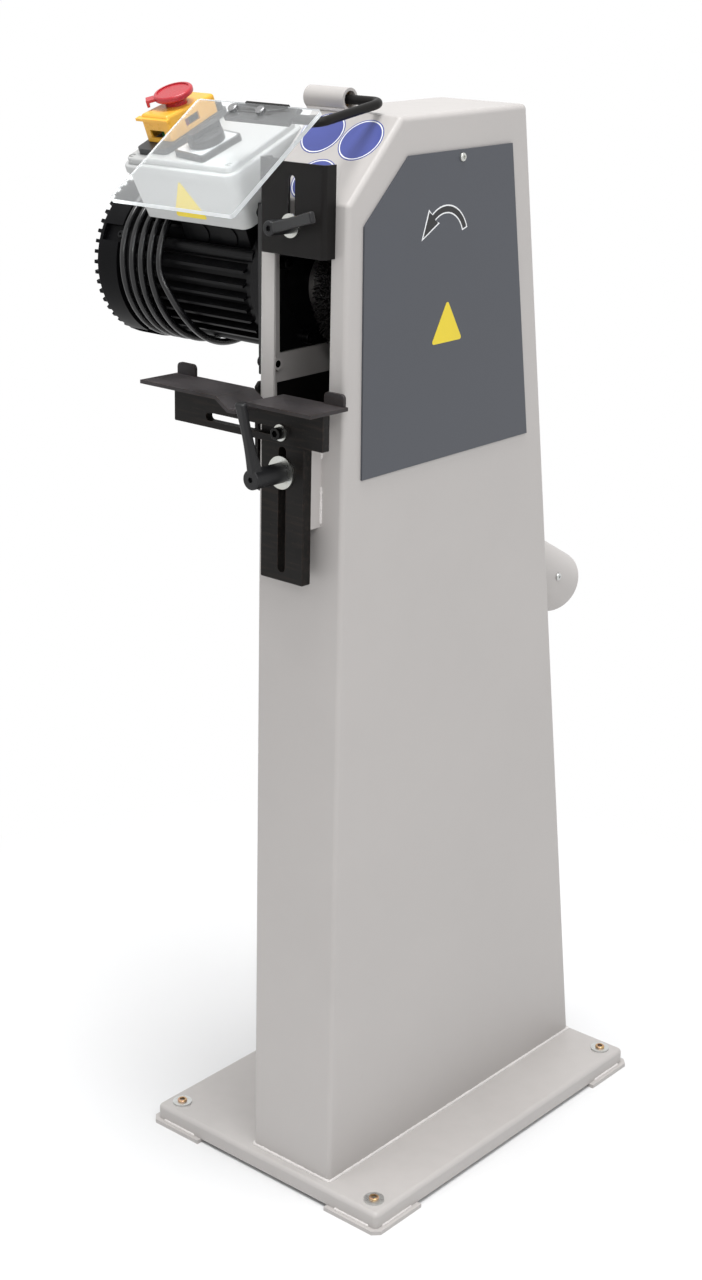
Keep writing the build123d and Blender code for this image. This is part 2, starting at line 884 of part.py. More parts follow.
def make_motor_inside():
    """Stator with its end windings, and the two ball bearings."""
    middle = (housing_end + flange_end) / 2
    low = middle - stator_length / 2
    high = middle + stator_length / 2
    stator = [ring(housing_bore, stator_bore, low, high)]
    for start, end in ((low - winding_length, low), (high, high + winding_length)):
        winding = ring(winding_outer, winding_inner, start, end)
        stator.append(fillet(winding.edges().filter_by(GeomType.CIRCLE), winding_round))
    inner = bearing_bore + running_gap
    bearings = [
        ring(bearing_outer, inner, flange_end, flange_end + bearing_width),
        ring(bearing_outer, inner, housing_end - bearing_width, housing_end),
    ]
    return {
        "stator": [MOTOR * ALONG_X * piece for piece in stator],
        "motor_bearings": [MOTOR * ALONG_X * piece for piece in bearings],
    }


def make_rotor():
    """Shaft, rotor core and cooling fan, which turn together."""
    middle = (housing_end + flange_end) / 2
    seat = stator_length / 2
    tail = housing_end - bearing_width
    fan_front = rear_end - fan_gap
    fan_back = fan_front - fan_width
    shaft = bar(bearing_bore, tail, flange_end + bearing_width)
    shaft += bar(rotor_seat_radius, middle - seat, middle + seat)
    shaft += bar(shaft_out_radius, flange_end, motor_face + shaft_out_length)
    shaft += bar(shaft_tail_radius, fan_back, tail)
    core = ring(stator_bore - air_gap, rotor_seat_radius, middle - seat, middle + seat)
    fan = bar(fan_hub_radius, fan_back, fan_front)
    fan += bar(fan_disc_radius, fan_front - fan_disc_thick, fan_front)
    half = fan_blade_thick / 2
    blades = []
    for step in range(fan_blades):
        blade = block((fan_hub_radius - merge_lap, fan_radius), (-half, half), (fan_back, fan_front))
        blades.append(Rot(0, 0, 360 * step / fan_blades) * blade)
    fan = fan.fuse(*blades) - bar(shaft_tail_radius, fan_back - overrun, fan_front + overrun)
    return {
        "motor_shaft": MOTOR * ALONG_X * shaft,
        "rotor_core": MOTOR * ALONG_X * core,
        "cooling_fan": MOTOR * ALONG_X * fan,
    }


def make_brush():
    """Arbor on the motor shaft with the brush, its clamping flange and the nut."""
    start = motor_face + arbor_start
    slinger = motor_face + slinger_place
    seat = motor_face + brush_seat
    brush_end = seat + brush_width
    clamp_end = brush_end + clamp_flange_thick
    nut_end = clamp_end + nut_thick
    arbor = bar(arbor_hub_radius, start, slinger) + bar(slinger_radius, slinger, slinger + slinger_thick)
    arbor += bar(arbor_barrel_radius, slinger, seat)
    arbor += bar(nose_radius, seat, clamp_end)
    arbor += bar(nose_thread_radius, clamp_end, nut_end - nose_thread_end)
    arbor -= bar(shaft_out_radius, start - overrun, motor_face + shaft_out_length + shaft_end_gap)
    core = ring(brush_core_radius, nose_radius, seat, brush_end)
    clamp = ring(clamp_flange_radius, nose_radius, brush_end, clamp_end)
    clamp = fillet(clamp.edges().filter_by(GeomType.CIRCLE).group_by(Edge.length)[-1], steel_edge)
    nut = hexagon(nut_across_flats, clamp_end, nut_end) - bar(nose_thread_radius, seat, nut_end + overrun)
    parts = {
        "brush_arbor": arbor,
        "brush_core": core,
        "brush_bristles": make_bristles(seat, brush_end),
        "brush_flange": clamp,
        "arbor_nut": nut,
    }
    return {name: MOTOR * ALONG_X * piece for name, piece in parts.items()}


def make_bristles(low, high):
    """Radial strands in staggered rows on a thin backing ring."""
    root = brush_core_radius + brush_backing
    backing = ring(root, brush_core_radius, low, high)
    row_pitch = (high - low) / strand_rows
    step = 360 / strands_per_row
    strands = []
    for row in range(strand_rows):
        z = low + (row + 0.5) * row_pitch
        for place in range(strands_per_row):
            turn = (place + 0.5 * (row % 2)) * step
            strand = bar_of_three_sides(root - brush_backing / 2, brush_radius)
            strands.append(Pos(0, 0, z) * Rot(0, 0, turn) * strand)
    return backing.fuse(*strands)


def bar_of_three_sides(start, end):
    """One straight strand along X with a triangular section."""
    return extrude(Plane.YZ.offset(start) * RegularPolygon(strand_radius, 3), end - start)


def box_frame():
    """Frame of the switch box: origin under the middle of its body, Z out of the lid."""
    return MOTOR * Pos(motor_face - box_place, -box_forward, pedestal_top)


def lid_place(u, v):
    """Place on the lid's top from its front left corner."""
    return Pos(u - lid_length / 2, v - lid_width / 2, box_body_height + box_rim_height + lid_height)


def box_screw_places():
    """Lid screws, at the level of the lid's top."""
    reach_x = lid_length / 2 - box_screw_inset
    reach_y = lid_width / 2 - box_screw_inset
    top = box_body_height + box_rim_height + lid_height
    return [Pos(x * reach_x, y * reach_y, top) for x in (-1, 1) for y in (-1, 1)]


def tapered_box(length, width, low, high, draft, corner):
    """Box with rounded corners that narrows towards its lower face."""
    lower = Pos(0, 0, low) * RectangleRounded(length - 2 * draft, width - 2 * draft, corner)
    upper = Pos(0, 0, high) * RectangleRounded(length, width, corner)
    return loft([lower, upper])


def box_outside(inset):
    """Outer form of the box body and its rim, drawn in by inset all round."""
    rim_high = box_body_height + box_rim_height
    body_cut = 2 * (box_body_inset + inset)
    rim_cut = 2 * (box_rim_inset + inset)
    body_corner = lid_corner - box_body_inset - inset
    rim_corner = lid_corner - box_rim_inset - inset
    body_length = lid_length - body_cut
    body_width = lid_width - body_cut
    body = tapered_box(body_length, body_width, 0, box_body_height, box_draft, body_corner)
    return body + slab(lid_length - rim_cut, lid_width - rim_cut, box_body_height, rim_high, rim_corner)


def make_box_shell():
    """Box body with screw pillars, lid and lid screws."""
    rim_high = box_body_height + box_rim_height
    lid_top = rim_high + lid_height
    outside = box_outside(0)
    hollow = box_outside(box_wall) & block(
        (-lid_length, lid_length), (-lid_width, lid_width), (box_wall, rim_high + overrun)
    )
    body = outside - hollow
    lid = slab(lid_length, lid_width, rim_high, rim_high + lid_flange_height, lid_corner)
    lid = fillet(lid.faces().sort_by(Axis.Z)[-1].edges(), lid_edge_round)
    inset = 2 * lid_pad_inset
    pad = slab(lid_length - inset, lid_width - inset, rim_high, lid_top, lid_corner - lid_pad_inset)
    lid += fillet(pad.faces().sort_by(Axis.Z)[-1].edges(), lid_edge_round)
    shank_low = -box_screw_sink - box_screw_length
    screws = []
    for place in box_screw_places():
        body += (place * bar(box_pillar_radius, -lid_top, -lid_height)) & outside
        shank = bar(box_screw_radius, shank_low, -box_screw_sink)
        lid -= place * (bar(box_screw_head_radius + hole_gap, -box_screw_sink, overrun) + shank)
        body -= place * shank
        head_top = box_screw_head_height - box_screw_sink
        head = bar(box_screw_head_radius, -box_screw_sink, head_top)
        head -= block((-overrun, overrun), (-steel_edge, steel_edge), (head_top - steel_edge, overrun))
        screws.append(place * (head + shank))
    return body, lid, screws


def make_switch_box():
    """Pedestal with two knockouts, box body, lid and screws, and the contact blocks under the lid."""
    frame = box_frame()
    body, lid, screws = make_box_shell()
    body -= gland_place() * bar(gland_thread_radius, -overrun, overrun)
    contacts = []
    under = -lid_height
    for u, v, length in ((estop_u, estop_v, cover_width), (selector_u, selector_v, contact_width)):
        passage = bar(selector_shaft_radius + hole_gap, under - contact_depth / 2, overrun)
        lid -= lid_place(u, v) * passage
        contact = slab(contact_width, length, under - contact_depth, under, steel_edge)
        contacts.append(lid_place(u, v) * (contact - passage))
    half = pedestal_width / 2
    saddle = block(
        (-pedestal_length / 2, pedestal_length / 2),
        (pedestal_setback - half, pedestal_setback + half),
        (housing_radius / 2 - pedestal_top, 0),
    )
    for side in (-1, 1):
        disc = bar(knockout_radius, -merge_lap, knockout_rise)
        face = Pos(side * knockout_pitch / 2, pedestal_setback - half, -knockout_drop)
        saddle += face * Rot(90, 0, 0) * disc
    return {
        "box_pedestal": frame * saddle - MOTOR * ALONG_X * bar(housing_radius, housing_end, flange_end),
        "switch_box_body": frame * body,
        "switch_box_lid": frame * lid,
        "switch_box_screws": [frame * piece for piece in screws],
        "switch_contacts": [frame * piece for piece in contacts],
    }


def make_estop():
    """Base with trunnions, flip cover, mushroom head and the two push buttons under the cover."""
    place = box_frame() * lid_place(estop_u, estop_v)
    top = estop_base_height
    base = slab(estop_base_length, estop_base_width, 0, top, estop_base_corner)
    hinge_y = cover_width / 2 - cover_forward + trunnion_setback
    hinge_z = top + trunnion_rise
    ear_in = knuckle_length / 2 + 2 * slide_gap
    for side in (-1, 1):
        span = sorted((side * ear_in, side * (ear_in + ear_width)))
        base += block(span, (hinge_y - ear_radius, hinge_y + ear_radius), (top, hinge_z))
    hinge = Pos(0, hinge_y, hinge_z) * ALONG_X
    base += hinge * bar(ear_radius, -ear_in - ear_width, -ear_in)
    base += hinge * bar(ear_radius, ear_in, ear_in + ear_width)
    base += hinge * bar(trunnion_radius, -ear_in - merge_lap, ear_in + merge_lap)
    buttons = []
    for y in (-cover_forward - push_pitch, -cover_forward):
        well_low = top - push_sink - push_travel - button_gap
        base -= Pos(0, y, 0) * bar(push_radius + button_gap, well_low, top + overrun)
        button = bar(push_radius, top - push_sink, top + push_rise)
        buttons.append(Pos(0, y, 0) * fillet(button.faces().sort_by(Axis.Z)[-1].edges(), steel_edge))
    cover = make_cover(top + cover_lift, hinge)
    stem_low = top + push_rise + mushroom_travel + bottom_gap
    head_place = Pos(0, -mushroom_forward, 0)
    passage = bar(mushroom_stem_radius + button_gap, stem_low, mushroom_stem_top + overrun)
    cover -= head_place * passage
    return {
        "estop_base": place * base,
        "start_button": place * buttons[0],
        "stop_button": place * buttons[1],
        "estop_cover": place * cover,
        "estop_mushroom": place * head_place * make_mushroom(stem_low),
    }


def make_mushroom(stem_low):
    """Mushroom head with a dished top, a tapered skirt, its stem and a side tab bent down."""
    disc_top = mushroom_stem_top + mushroom_height
    disc = bar(mushroom_radius, mushroom_stem_top, disc_top)
    disc = fillet(disc.edges().filter_by(GeomType.CIRCLE), mushroom_round)
    disc -= bar(mushroom_radius - mushroom_rim, disc_top - mushroom_dish, disc_top + overrun)
    end = -mushroom_radius - mushroom_tab_length
    sides = (-mushroom_tab_width / 2, mushroom_tab_width / 2)
    tab_top = disc_top - mushroom_round
    tab = block((end, -mushroom_radius / 2), sides, (tab_top - mushroom_tab_thick, tab_top))
    tab += block((end, end + mushroom_tab_thick), sides, (mushroom_stem_top - mushroom_tab_drop, tab_top))
    skirt = Cone(mushroom_skirt_low, mushroom_skirt_high, mushroom_skirt_drop, align=CENTER_LOW)
    stem = bar(mushroom_stem_radius, stem_low, mushroom_stem_top)
    stem += Pos(0, 0, mushroom_stem_top - mushroom_skirt_drop) * skirt
    return disc + Rot(0, 0, mushroom_tab_turn) * tab + stem


def make_cover(low, hinge):
    """Yellow flip cover: a sloped cap, open below, with a front lip, two windows and a hinge knuckle."""
    half = cover_length / 2
    front = -cover_width / 2 - cover_forward
    back = cover_width / 2 - cover_forward
    outline = Polyline(
        (front, low),
        (front, low + cover_front_height),
        (back, low + cover_back_height),
        (back, low),
        close=True,
    )
    face = make_face(Plane.YZ * outline)
    cap = extrude(face, half, both=True)
    cap = fillet(cap.edges() - cap.faces().sort_by(Axis.Z)[0].edges(), cover_edge_round)
    inner = extrude(offset(face, -cover_wall, kind=Kind.INTERSECTION), half - cover_wall, both=True)
    inner += Pos(0, 0, -cover_wall - merge_lap) * inner
    cap -= inner
    lip_y = (front - cover_lip_reach, front + cover_wall)
    lip_z = (low + cover_front_height - 2 * cover_lip_thick, low + cover_front_height - cover_lip_thick)
    cap += block((-cover_lip_length / 2, cover_lip_length / 2), lip_y, lip_z) - inner
    window_z = (low + cover_wall * 2, low + cover_wall * 2 + cover_window_height)
    window = (-cover_window_length / 2, cover_window_length / 2)
    cap -= block(window, (front - merge_lap, front + 2 * cover_wall), window_z)
    cap -= block((half - 2 * cover_wall, half + merge_lap), window, window_z)
    knuckle = hinge * bar(knuckle_radius, -knuckle_length / 2, knuckle_length / 2)
    root = Pos(0, -trunnion_setback / 2, 0) * hinge * block(
        (-knuckle_radius / 2, knuckle_radius / 2), (-trunnion_setback / 2, trunnion_setback / 2),
        (-knuckle_length / 2, knuckle_length / 2),
    )
    cap = cap + knuckle + root - inner
    return cap - hinge * bar(trunnion_radius + pin_gap, -knuckle_length, knuckle_length)


def make_selector():
    """Selector plate and its rotary knob with a grip and a shaft down to its contacts."""
    place = box_frame() * lid_place(selector_u, selector_v)
    top = selector_plate_height
    plate = slab(selector_plate_length, selector_plate_width, 0, top, selector_plate_corner)
    plate = fillet(plate.faces().sort_by(Axis.Z)[-1].edges(), steel_edge)
    plate -= bar(selector_shaft_radius + hole_gap, -overrun, top + overrun)
    seat = top + button_gap
    body_top = seat + selector_height - selector_grip_height
    knob = bar(selector_radius, seat, body_top)
    knob = chamfer(knob.faces().sort_by(Axis.Z)[-1].edges(), 2 * steel_edge)
    half = selector_grip_width / 2
    knob += block((-half, half), (-selector_radius, selector_radius), (seat, seat + selector_height)) & bar(
        selector_radius, seat, seat + selector_height
    )
    knob += bar(selector_shaft_radius, bottom_gap - lid_height - contact_depth / 2, seat)
    turn = Rot(0, 0, selector_turn)
    return {"selector_plate": place * turn * plate, "selector_knob": place * turn * knob}


def gland_place():
    """Frame of the cable gland in the box frame: Z points out of the back wall."""
    rise = gland_height / box_body_height
    wall_y = lid_width / 2 - box_body_inset - box_draft * (1 - rise)
    return Pos(gland_u - lid_length / 2, wall_y, gland_height) * Rot(-box_draft_angle, 0, 0) * ALONG_Y


def make_gland():
    """Cable gland with its tapered strain relief, bored for the cable."""
    flange = bar(gland_flange_radius, 0, gland_flange_length) + bar(gland_thread_radius, -2 * box_wall, 0)
    nose_end = gland_flange_length + gland_nose_length
    nose = loft(
        [
            Pos(0, 0, gland_flange_length) * Circle(gland_flange_radius - gland_shoulder),
            Pos(0, 0, nose_end) * Circle(gland_nose_radius),
        ]
    )
    return {"cable_gland": box_frame() * gland_place() * (flange + nose)}


def coil_point(turn):
    """Point on the middle line of the wound cable, counted in turns from its start at the back."""
    angle = 2 * pi * turn
    lowness = sin(angle)
    slant = coil_skew
    if lowness > 0:
        slant += coil_late_slant * (turn / coil_turns) ** coil_late_power
    sideways = slant * lowness * (3 - lowness**2) / 2 - coil_bow * lowness**2
    x = motor_face - coil_start + coil_pitch * turn + sideways
    last_top = coil_turns - 0.25
    free = max(0, turn - last_top) * 4
    away = coil_loosening * free**2 * (3 - 2 * free)
    y = axis_y + (coil_reach + away) * cos(angle)
    return Vector(x, y, axis_z - (coil_rise + away) * lowness)


def coil_heading(turn):
    """Direction of the wound cable at a turn."""
    step = 0.001
    before = max(turn - step, 0)
    after = min(turn + step, coil_turns)
    return (coil_point(after) - coil_point(before)).normalized()


def biarc(start, start_heading, end, end_heading):
    """Two arcs that join two points with given headings."""
    chord = end - start
    along = chord.dot(start_heading + end_heading)
    spread = 2 * (1 - start_heading.dot(end_heading))
    reach = (sqrt(along**2 + spread * chord.dot(chord)) - along) / spread
    first = start + start_heading * reach
    last = end - end_heading * reach
    middle = (first + last) * 0.5
    heading = (last - first).normalized()
    opening = Edge.make_tangent_arc(start, start_heading, middle)
    return [opening, Edge.make_tangent_arc(middle, heading, end)]


def coil_self_gap():
    """Least gap between neighbouring turns, measured on points along the coil."""
    per_turn = 60
    points = [coil_point(step / per_turn) for step in range(per_turn * coil_turns + 1)]
    least = 2 * coil_reach
    for here, point in enumerate(points):
        for other in points[here + per_turn // 2 :]:
            least = min(least, (other - point).length)
    return least - 2 * cable_radius


def tube_along(edges, start, heading):
    """Round tube of the cable's size along a path."""
    return sweep(Plane(origin=start, z_dir=heading) * Circle(cable_radius), path=Wire(edges))


def make_cable():
    """Lead from the gland, the turns round the motor and the plug that hangs behind it."""
    stub = 2 * cable_radius
    quarters = [step / 4 for step in range(4 * coil_turns + 1)]
    start_heading = coil_heading(0)
    end_heading = Vector(0, 0, -1)
    start = coil_point(0) - start_heading * stub
    end = coil_point(coil_turns) + end_heading * stub
    edges = [Edge.make_line(start, coil_point(0))]
    for before, after in zip(quarters[:-1], quarters[1:]):
        heading = end_heading if after == coil_turns else coil_heading(after)
        edges += biarc(coil_point(before), coil_heading(before), coil_point(after), heading)
    edges.append(Edge.make_line(coil_point(coil_turns), end))
    coil = tube_along(edges, start, start_heading)
    length = sum(edge.length for edge in edges)
    print("coil: length", round(length), "least self gap", round(coil_self_gap(), 2))
    lead = make_lead(start, start_heading)
    return {"cable_lead": lead, "cable_coil": coil, "plug": make_plug(end)}


def make_lead(coil_end, coil_heading_there):
    """Free stretch of cable from the gland over the back of the box to the start of the coil."""
    nose = box_frame() * gland_place() * Pos(0, 0, gland_flange_length + gland_nose_length)
    exit_point = nose.position
    exit_heading = Plane(nose).z_dir
    coil_back = Vector(motor_face - coil_start, axis_y, axis_z)
    route = [
        exit_point,
        exit_point + exit_heading * lead_first_run,
        coil_back + Vector(*lead_crest),
        coil_back + Vector(*lead_turn),
        coil_end - coil_heading_there * lead_last_run,
        coil_end,
    ]
    radii = []
    for before, corner, after in zip(route[:-2], route[1:-1], route[2:]):
        turn = (corner - before).get_angle(after - corner)
        shorter = min((corner - before).length, (after - corner).length)
        radii.append(lead_corner_share * shorter / tan(radians(turn / 2)))
    print("lead: radii", [round(radius, 1) for radius in radii])
    path = FilletPolyline(*route, radius=radii)
    tube = tube_along(path.edges(), exit_point, exit_heading)
    section = pi * cable_radius**2
    ratio = tube.volume / (section * path.length)
    print("lead: length", round(path.length, 1), "volume ratio", round(ratio, 4))
    return tube


def make_plug(top):
    """Plug with a tapered relief, hanging from the end of the cable."""
    relief_end = -plug_relief_length
    body_end = relief_end - plug_length
    neck = Circle(cable_radius + plug_neck_wall)
    relief = loft([neck, Pos(0, 0, relief_end) * Circle(plug_relief_radius)])
    body = bar(plug_radius, body_end, relief_end)
    body = fillet(body.faces().sort_by(Axis.Z)[-1].edges(), plug_edge_round)
    pin = bar(plug_pin_radius, body_end - plug_pin_length, body_end)
    pins = [Pos(side * plug_pin_pitch / 2, 0, 0) * pin for side in (-1, 1)]
    return Pos(top) * (relief + body + pins)


def slot_cut(width, low, high, depth):
    """Round-ended slot cutter along Y between two heights, through a depth range."""
    face = SlotOverall(high - low, width, rotation=90)
    return extrude(Pos(0, (low + high) / 2, depth[0]) * face, depth[1] - depth[0])


def make_guard():
    """Folded guard plate with its slot, and its clamping lever."""
    half = guard_width / 2
    span = (up(guard_stud_height - guard_below), up(guard_stud_height + guard_above))
    front = guard_back_gap + guard_depth
    plate = block((-half, half), span, (guard_back_gap, front))
    folds = plate.faces().sort_by(Axis.Z)[-1].edges().filter_by(Axis.Y)
    plate = fillet(folds, guard_bend)
    inner = half - guard_sheet
    hollow = block((-inner, inner), (span[0] - overrun, span[1] + overrun), (-overrun, front - guard_sheet))
    folds = hollow.faces().sort_by(Axis.Z)[-1].edges().filter_by(Axis.Y)
    plate -= fillet(folds, guard_bend - guard_sheet)
    slot_low = up(guard_stud_height - guard_slot_below)
    slot_high = up(guard_stud_height + guard_slot_above)
    plate -= slot_cut(guard_slot_width, slot_low, slot_high, (0, front + overrun))
    hub = clamp_hub(guard_hub_radius, guard_hub_length)
    arm = clamp_arm(guard_hub_radius, guard_arm_root, guard_arm_length, guard_arm_sections)
    lever = bored_lever(hub + arm, guard_hub_length, guard_stud_radius)
    place = FRONT * Pos(0, up(guard_stud_height), guard_seat()) * Rot(0, 0, guard_arm_turn)
    return {"guard_plate": FRONT * plate, "guard_lever": place * lever}


def clamp_hub(hub_radius, hub_length):
    """Hub of a clamping lever, along Z from its seat."""
    hub = bar(hub_radius, 0, hub_length)
    return fillet(hub.faces().sort_by(Axis.Z)[-1].edges(), 2 * steel_edge)


def clamp_arm(hub_radius, arm_root, arm_length, arm_sections):
    """Arm of a clamping lever along Y, leaning away from its seat."""
    lean = radians(lever_lean)
    arm_plane = Plane(origin=(0, 0, arm_root), x_dir=(1, 0, 0), z_dir=(0, cos(lean), sin(lean)))
    sections = []
    for along, width, depth in arm_sections:
        face = RectangleRounded(width * hub_radius, depth * hub_radius, lever_corner_share * hub_radius)
        sections.append(arm_plane.offset(along * arm_length) * face)
    arm = loft(sections)
    return fillet(arm.faces().sort_by(Axis.Y)[-1].edges(), lever_tip_share * hub_radius)


def bored_lever(lever, hub_length, stud_radius):
    """Lever with the bore for its stud and the hexagon socket in its head."""
    lever -= bar(stud_radius + pin_gap, -overrun, hub_length - lever_socket_depth - steel_edge)
    return lever - hexagon(2 * lever_socket_radius, hub_length - lever_socket_depth, hub_length + overrun)


def make_rest():
    """Slotted upright, crossbar with its clamping screw, grooved table and clamping lever."""
    half = rest_width / 2
    back = bracket_depth + slide_gap
    face = back + rest_thick
    bar_back = face + slide_gap
    bar_face = bar_back + bar_thick
    span = (up(rest_stud_height - rest_below), up(rest_stud_height + rest_above))
    plate = block((-half, half), span, (back, face))
    plate = fillet(plate.edges().filter_by(Axis.Z), 2 * steel_edge)
    plate = chamfer(plate.faces().sort_by(Axis.Z)[-1].edges(), steel_edge)
    slot_low = up(rest_stud_height - rest_slot_below)
    slot_high = up(rest_stud_height + rest_slot_above)
    plate -= slot_cut(rest_slot_width, slot_low, slot_high, (0, face + overrun))
    screw_place = Pos(bar_screw_x, up(bar_screw_height), 0)
    plate -= screw_place * bar(bolt_radius, 0, face + overrun)
    washer_low = bar_face + slide_gap
    washer_high = washer_low + bar_washer_thick
    washer = ring(bar_washer_radius, bolt_radius, washer_low, washer_high)
    screw = Pos(0, 0, washer_high) * cap_screw(washer_high - back)
    hub = clamp_hub(rest_hub_radius, rest_hub_length)
    arm = clamp_arm(rest_hub_radius, rest_arm_root, rest_arm_length, rest_arm_sections)
    lever = bored_lever(hub + arm, rest_hub_length, rest_stud_radius)
    lever_place = Pos(0, up(rest_stud_height), rest_seat()) * Rot(0, 0, rest_arm_turn)
    return {
        "rest_plate": FRONT * plate,
        "rest_bar_screw": FRONT * screw_place * screw,
        "rest_bar_washer": FRONT * screw_place * washer,
        "rest_bar": FRONT * make_rest_bar(bar_back, bar_face),
        "rest_table": FRONT * make_table(),
        "rest_lever": FRONT * lever_place * lever,
    }


def groove_points(drop):
    """Corners of the table's V groove, on a face that lies drop below the table's top."""
    top = up(table_top) - drop
    slope = atan2(groove_depth, (groove_width - groove_flat) / 2)
    shift = drop * tan(slope / 2)
    right = groove_left + groove_width
    flat_left = groove_left + (groove_width - groove_flat) / 2
    return [
        (groove_left - shift, top),
        (flat_left - shift, top - groove_depth),
        (flat_left + groove_flat + shift, top - groove_depth),
        (right + shift, top),
    ]


def make_rest_bar(back, front):
    """Slotted crossbar, notched for the groove of the table."""
    top = up(table_top) - table_thick
    piece = block((-bar_left, bar_right), (up(rest_stud_height + bar_above), top), (back, front))
    piece = chamfer(piece.edges().filter_by(Axis.Z), steel_edge)
    slot_right = bar_screw_x + bar_slot_width / 2 + hole_gap
    slot_length = slot_right + bar_slot_left
    slot_face = SlotOverall(slot_length, bar_slot_width)
    middle = slot_right - slot_length / 2
    cut_depth = bar_thick + 2 * overrun
    piece -= extrude(Pos(middle, up(bar_screw_height), back - overrun) * slot_face, cut_depth)
    notch = make_face(Polyline(*groove_points(table_thick), close=True))
    return piece - extrude(Pos(0, 0, back - overrun) * notch, cut_depth)


def make_table():
    """Bent table plate with a V groove and two upturned tabs at its back edge."""
    top = up(table_top)
    upper = [(-table_left, top)] + groove_points(0) + [(table_right, top)]
    under = top - table_thick
    lower = [(-table_left, under)] + groove_points(table_thick) + [(table_right, under)]
    section = make_face(Polyline(*upper, *reversed(lower), close=True))
    table = extrude(Pos(0, 0, table_back_gap) * section, table_depth)
    for x in (-table_left + tab_inset, table_right - tab_inset - tab_width):
        depth = (table_back_gap, table_back_gap + table_thick)
        tab = block((x, x + tab_width), (under, top + tab_height), depth)
        corners = tab.edges().filter_by(Axis.Z).group_by(Axis.Y)[-1]
        table += fillet(corners, tab_corner)
    return table


def make_shield():
    """Pivot tube with its bushes, the bent arm with its bar, the clear panel and its bolts."""
    at_pivot = Pos(0, pivot_y, pivot_z) * ALONG_X
    bore = pivot_tube_radius - pivot_tube_wall
    tube = ring(pivot_tube_radius, bore, -pivot_left, -pivot_right)
    bushes = []
    for start in (-pivot_left + bush_inset, -pivot_right - bush_inset - bush_length):
        bushes.append(at_pivot * ring(bore, arm_radius + running_gap, start, start + bush_length))
    bolt_y = -shield_bolt_inset
    under = -shield_thick / 2
    bar_low = under - shield_bar_thick
    panel = block((-shield_left, shield_right), (-shield_drop, 0), (under, -under))
    panel = fillet(panel.edges().filter_by(Axis.Z), shield_corner)
    bar_y = (shield_bar_lip - shield_bar_width, shield_bar_lip)
    flat = block((-shield_bar_left, shield_bar_right), bar_y, (bar_low, under))
    stop_middle = (shield_bar_right - shield_bar_left) / 2
    stop_x = (stop_middle - shield_stop_length / 2, stop_middle + shield_stop_length / 2)
    flat += block(stop_x, (shield_bar_lip - shield_stop_thick, shield_bar_lip), (bar_low, -under))
    bolts = []
    for x in shield_bolt_xs:
        place = Pos(x, bolt_y, 0)
        hole = place * bar(shield_bolt_radius, bar_low - overrun, overrun)
        panel -= hole
        flat -= hole
        head = bar(shield_bolt_head_radius, -under, -under + shield_bolt_head_height)
        head = fillet(head.faces().sort_by(Axis.Z)[-1].edges(), shield_bolt_head_height * head_dome_share)
        head += bar(shield_bolt_radius, bar_low - shield_nut_thick, -under)
        head += hexagon(2 * shield_nut_radius, bar_low - shield_nut_thick, bar_low)
        bolts.append(SHIELD * place * head)
    return {
        "shield_pivot_tube": at_pivot * tube,
        "shield_bushes": bushes,
        "shield_arm": make_arm(flat, bar_low),
        "shield_panel": SHIELD * panel,
        "shield_bolts": bolts,
    }


def make_arm(flat, bar_low):
    """Round arm bent from the pivot tube to the flat bar under the shield's top edge."""
    seat_y = shield_bar_lip - shield_bar_width / 2
    seat = SHIELD * Pos(0, seat_y, bar_low + (shield_bar_thick - arm_radius) / 2)
    arm_y = seat.position.Y
    arm_z = seat.position.Z
    left_end = bush_inset - pivot_left - arm_end_gap - collar_length
    path = FilletPolyline(
        (left_end, pivot_y, pivot_z),
        (arm_right, pivot_y, pivot_z),
        (arm_right, arm_y, arm_z),
        (shield_bar_right - overrun, arm_y, arm_z),
        radius=arm_bend,
    )
    start = Plane(origin=(left_end, pivot_y, pivot_z), z_dir=(1, 0, 0))
    rod = sweep(start * Circle(arm_radius), path=path)
    collar = Pos(0, pivot_y, pivot_z) * ALONG_X * bar(collar_radius, left_end, left_end + collar_length)
    return rod + collar + SHIELD * flat


def gather():
    """All nodes of the machine in the column's frame."""
    nodes = {}
    nodes |= make_foot()
    nodes |= make_column()
    nodes |= make_column_fittings()
    nodes |= make_door()
    nodes |= make_motor_plate()
    shells, cowl_screws = make_motor_shells()
    nodes |= shells
    nodes["panel_screws"] = nodes["panel_screws"] + cowl_screws
    nodes |= make_motor_inside()
    nodes |= make_rotor()
    nodes |= make_brush()
    nodes |= make_switch_box()
    nodes |= make_estop()
    nodes |= make_selector()
    nodes |= make_gland()
    nodes |= make_cable()
    nodes |= make_guard()
    nodes |= make_rest()
    nodes |= make_shield()
    return nodes


def as_one(piece):
    """A node's solids as one shape."""
    pieces = piece if isinstance(piece, list) else [piece]
    solids = [solid for part in pieces for solid in part.solids()]
    return solids[0] if len(solids) == 1 else Compound(solids)


def shift_home(shapes):
    """Shift that brings the bottom centre of the shapes to the origin."""
    boxes = [shape.bounding_box() for shape in shapes]
    low = [min(getattr(box.min, axis) for box in boxes) for axis in "XYZ"]
    high = [max(getattr(box.max, axis) for box in boxes) for axis in "XYZ"]
    print("size", [round(top - bottom, 2) for bottom, top in zip(low, high)])
    return Pos(-(low[0] + high[0]) / 2, -(low[1] + high[1]) / 2, -low[2])


cord_nodes = ("cable_lead", "cable_coil", "plug")
nodes = {name: as_one(piece) for name, piece in gather().items()}
home = shift_home([shape for name, shape in nodes.items() if name not in cord_nodes])
print("shift", [round(value, 4) for value in home.position])

os.makedirs("parts", exist_ok=True)
for name, shape in nodes.items():
    export_step(home * shape, f"parts/{name}.step")
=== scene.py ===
"""Brush deburring machine: finishes, cable, brush strands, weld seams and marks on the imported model."""
from math import atan2, cos, pi, radians, sin

import bmesh
import bpy
from bpy.props import FloatProperty, FloatVectorProperty, IntProperty, PointerProperty
from mathutils import Matrix, Vector


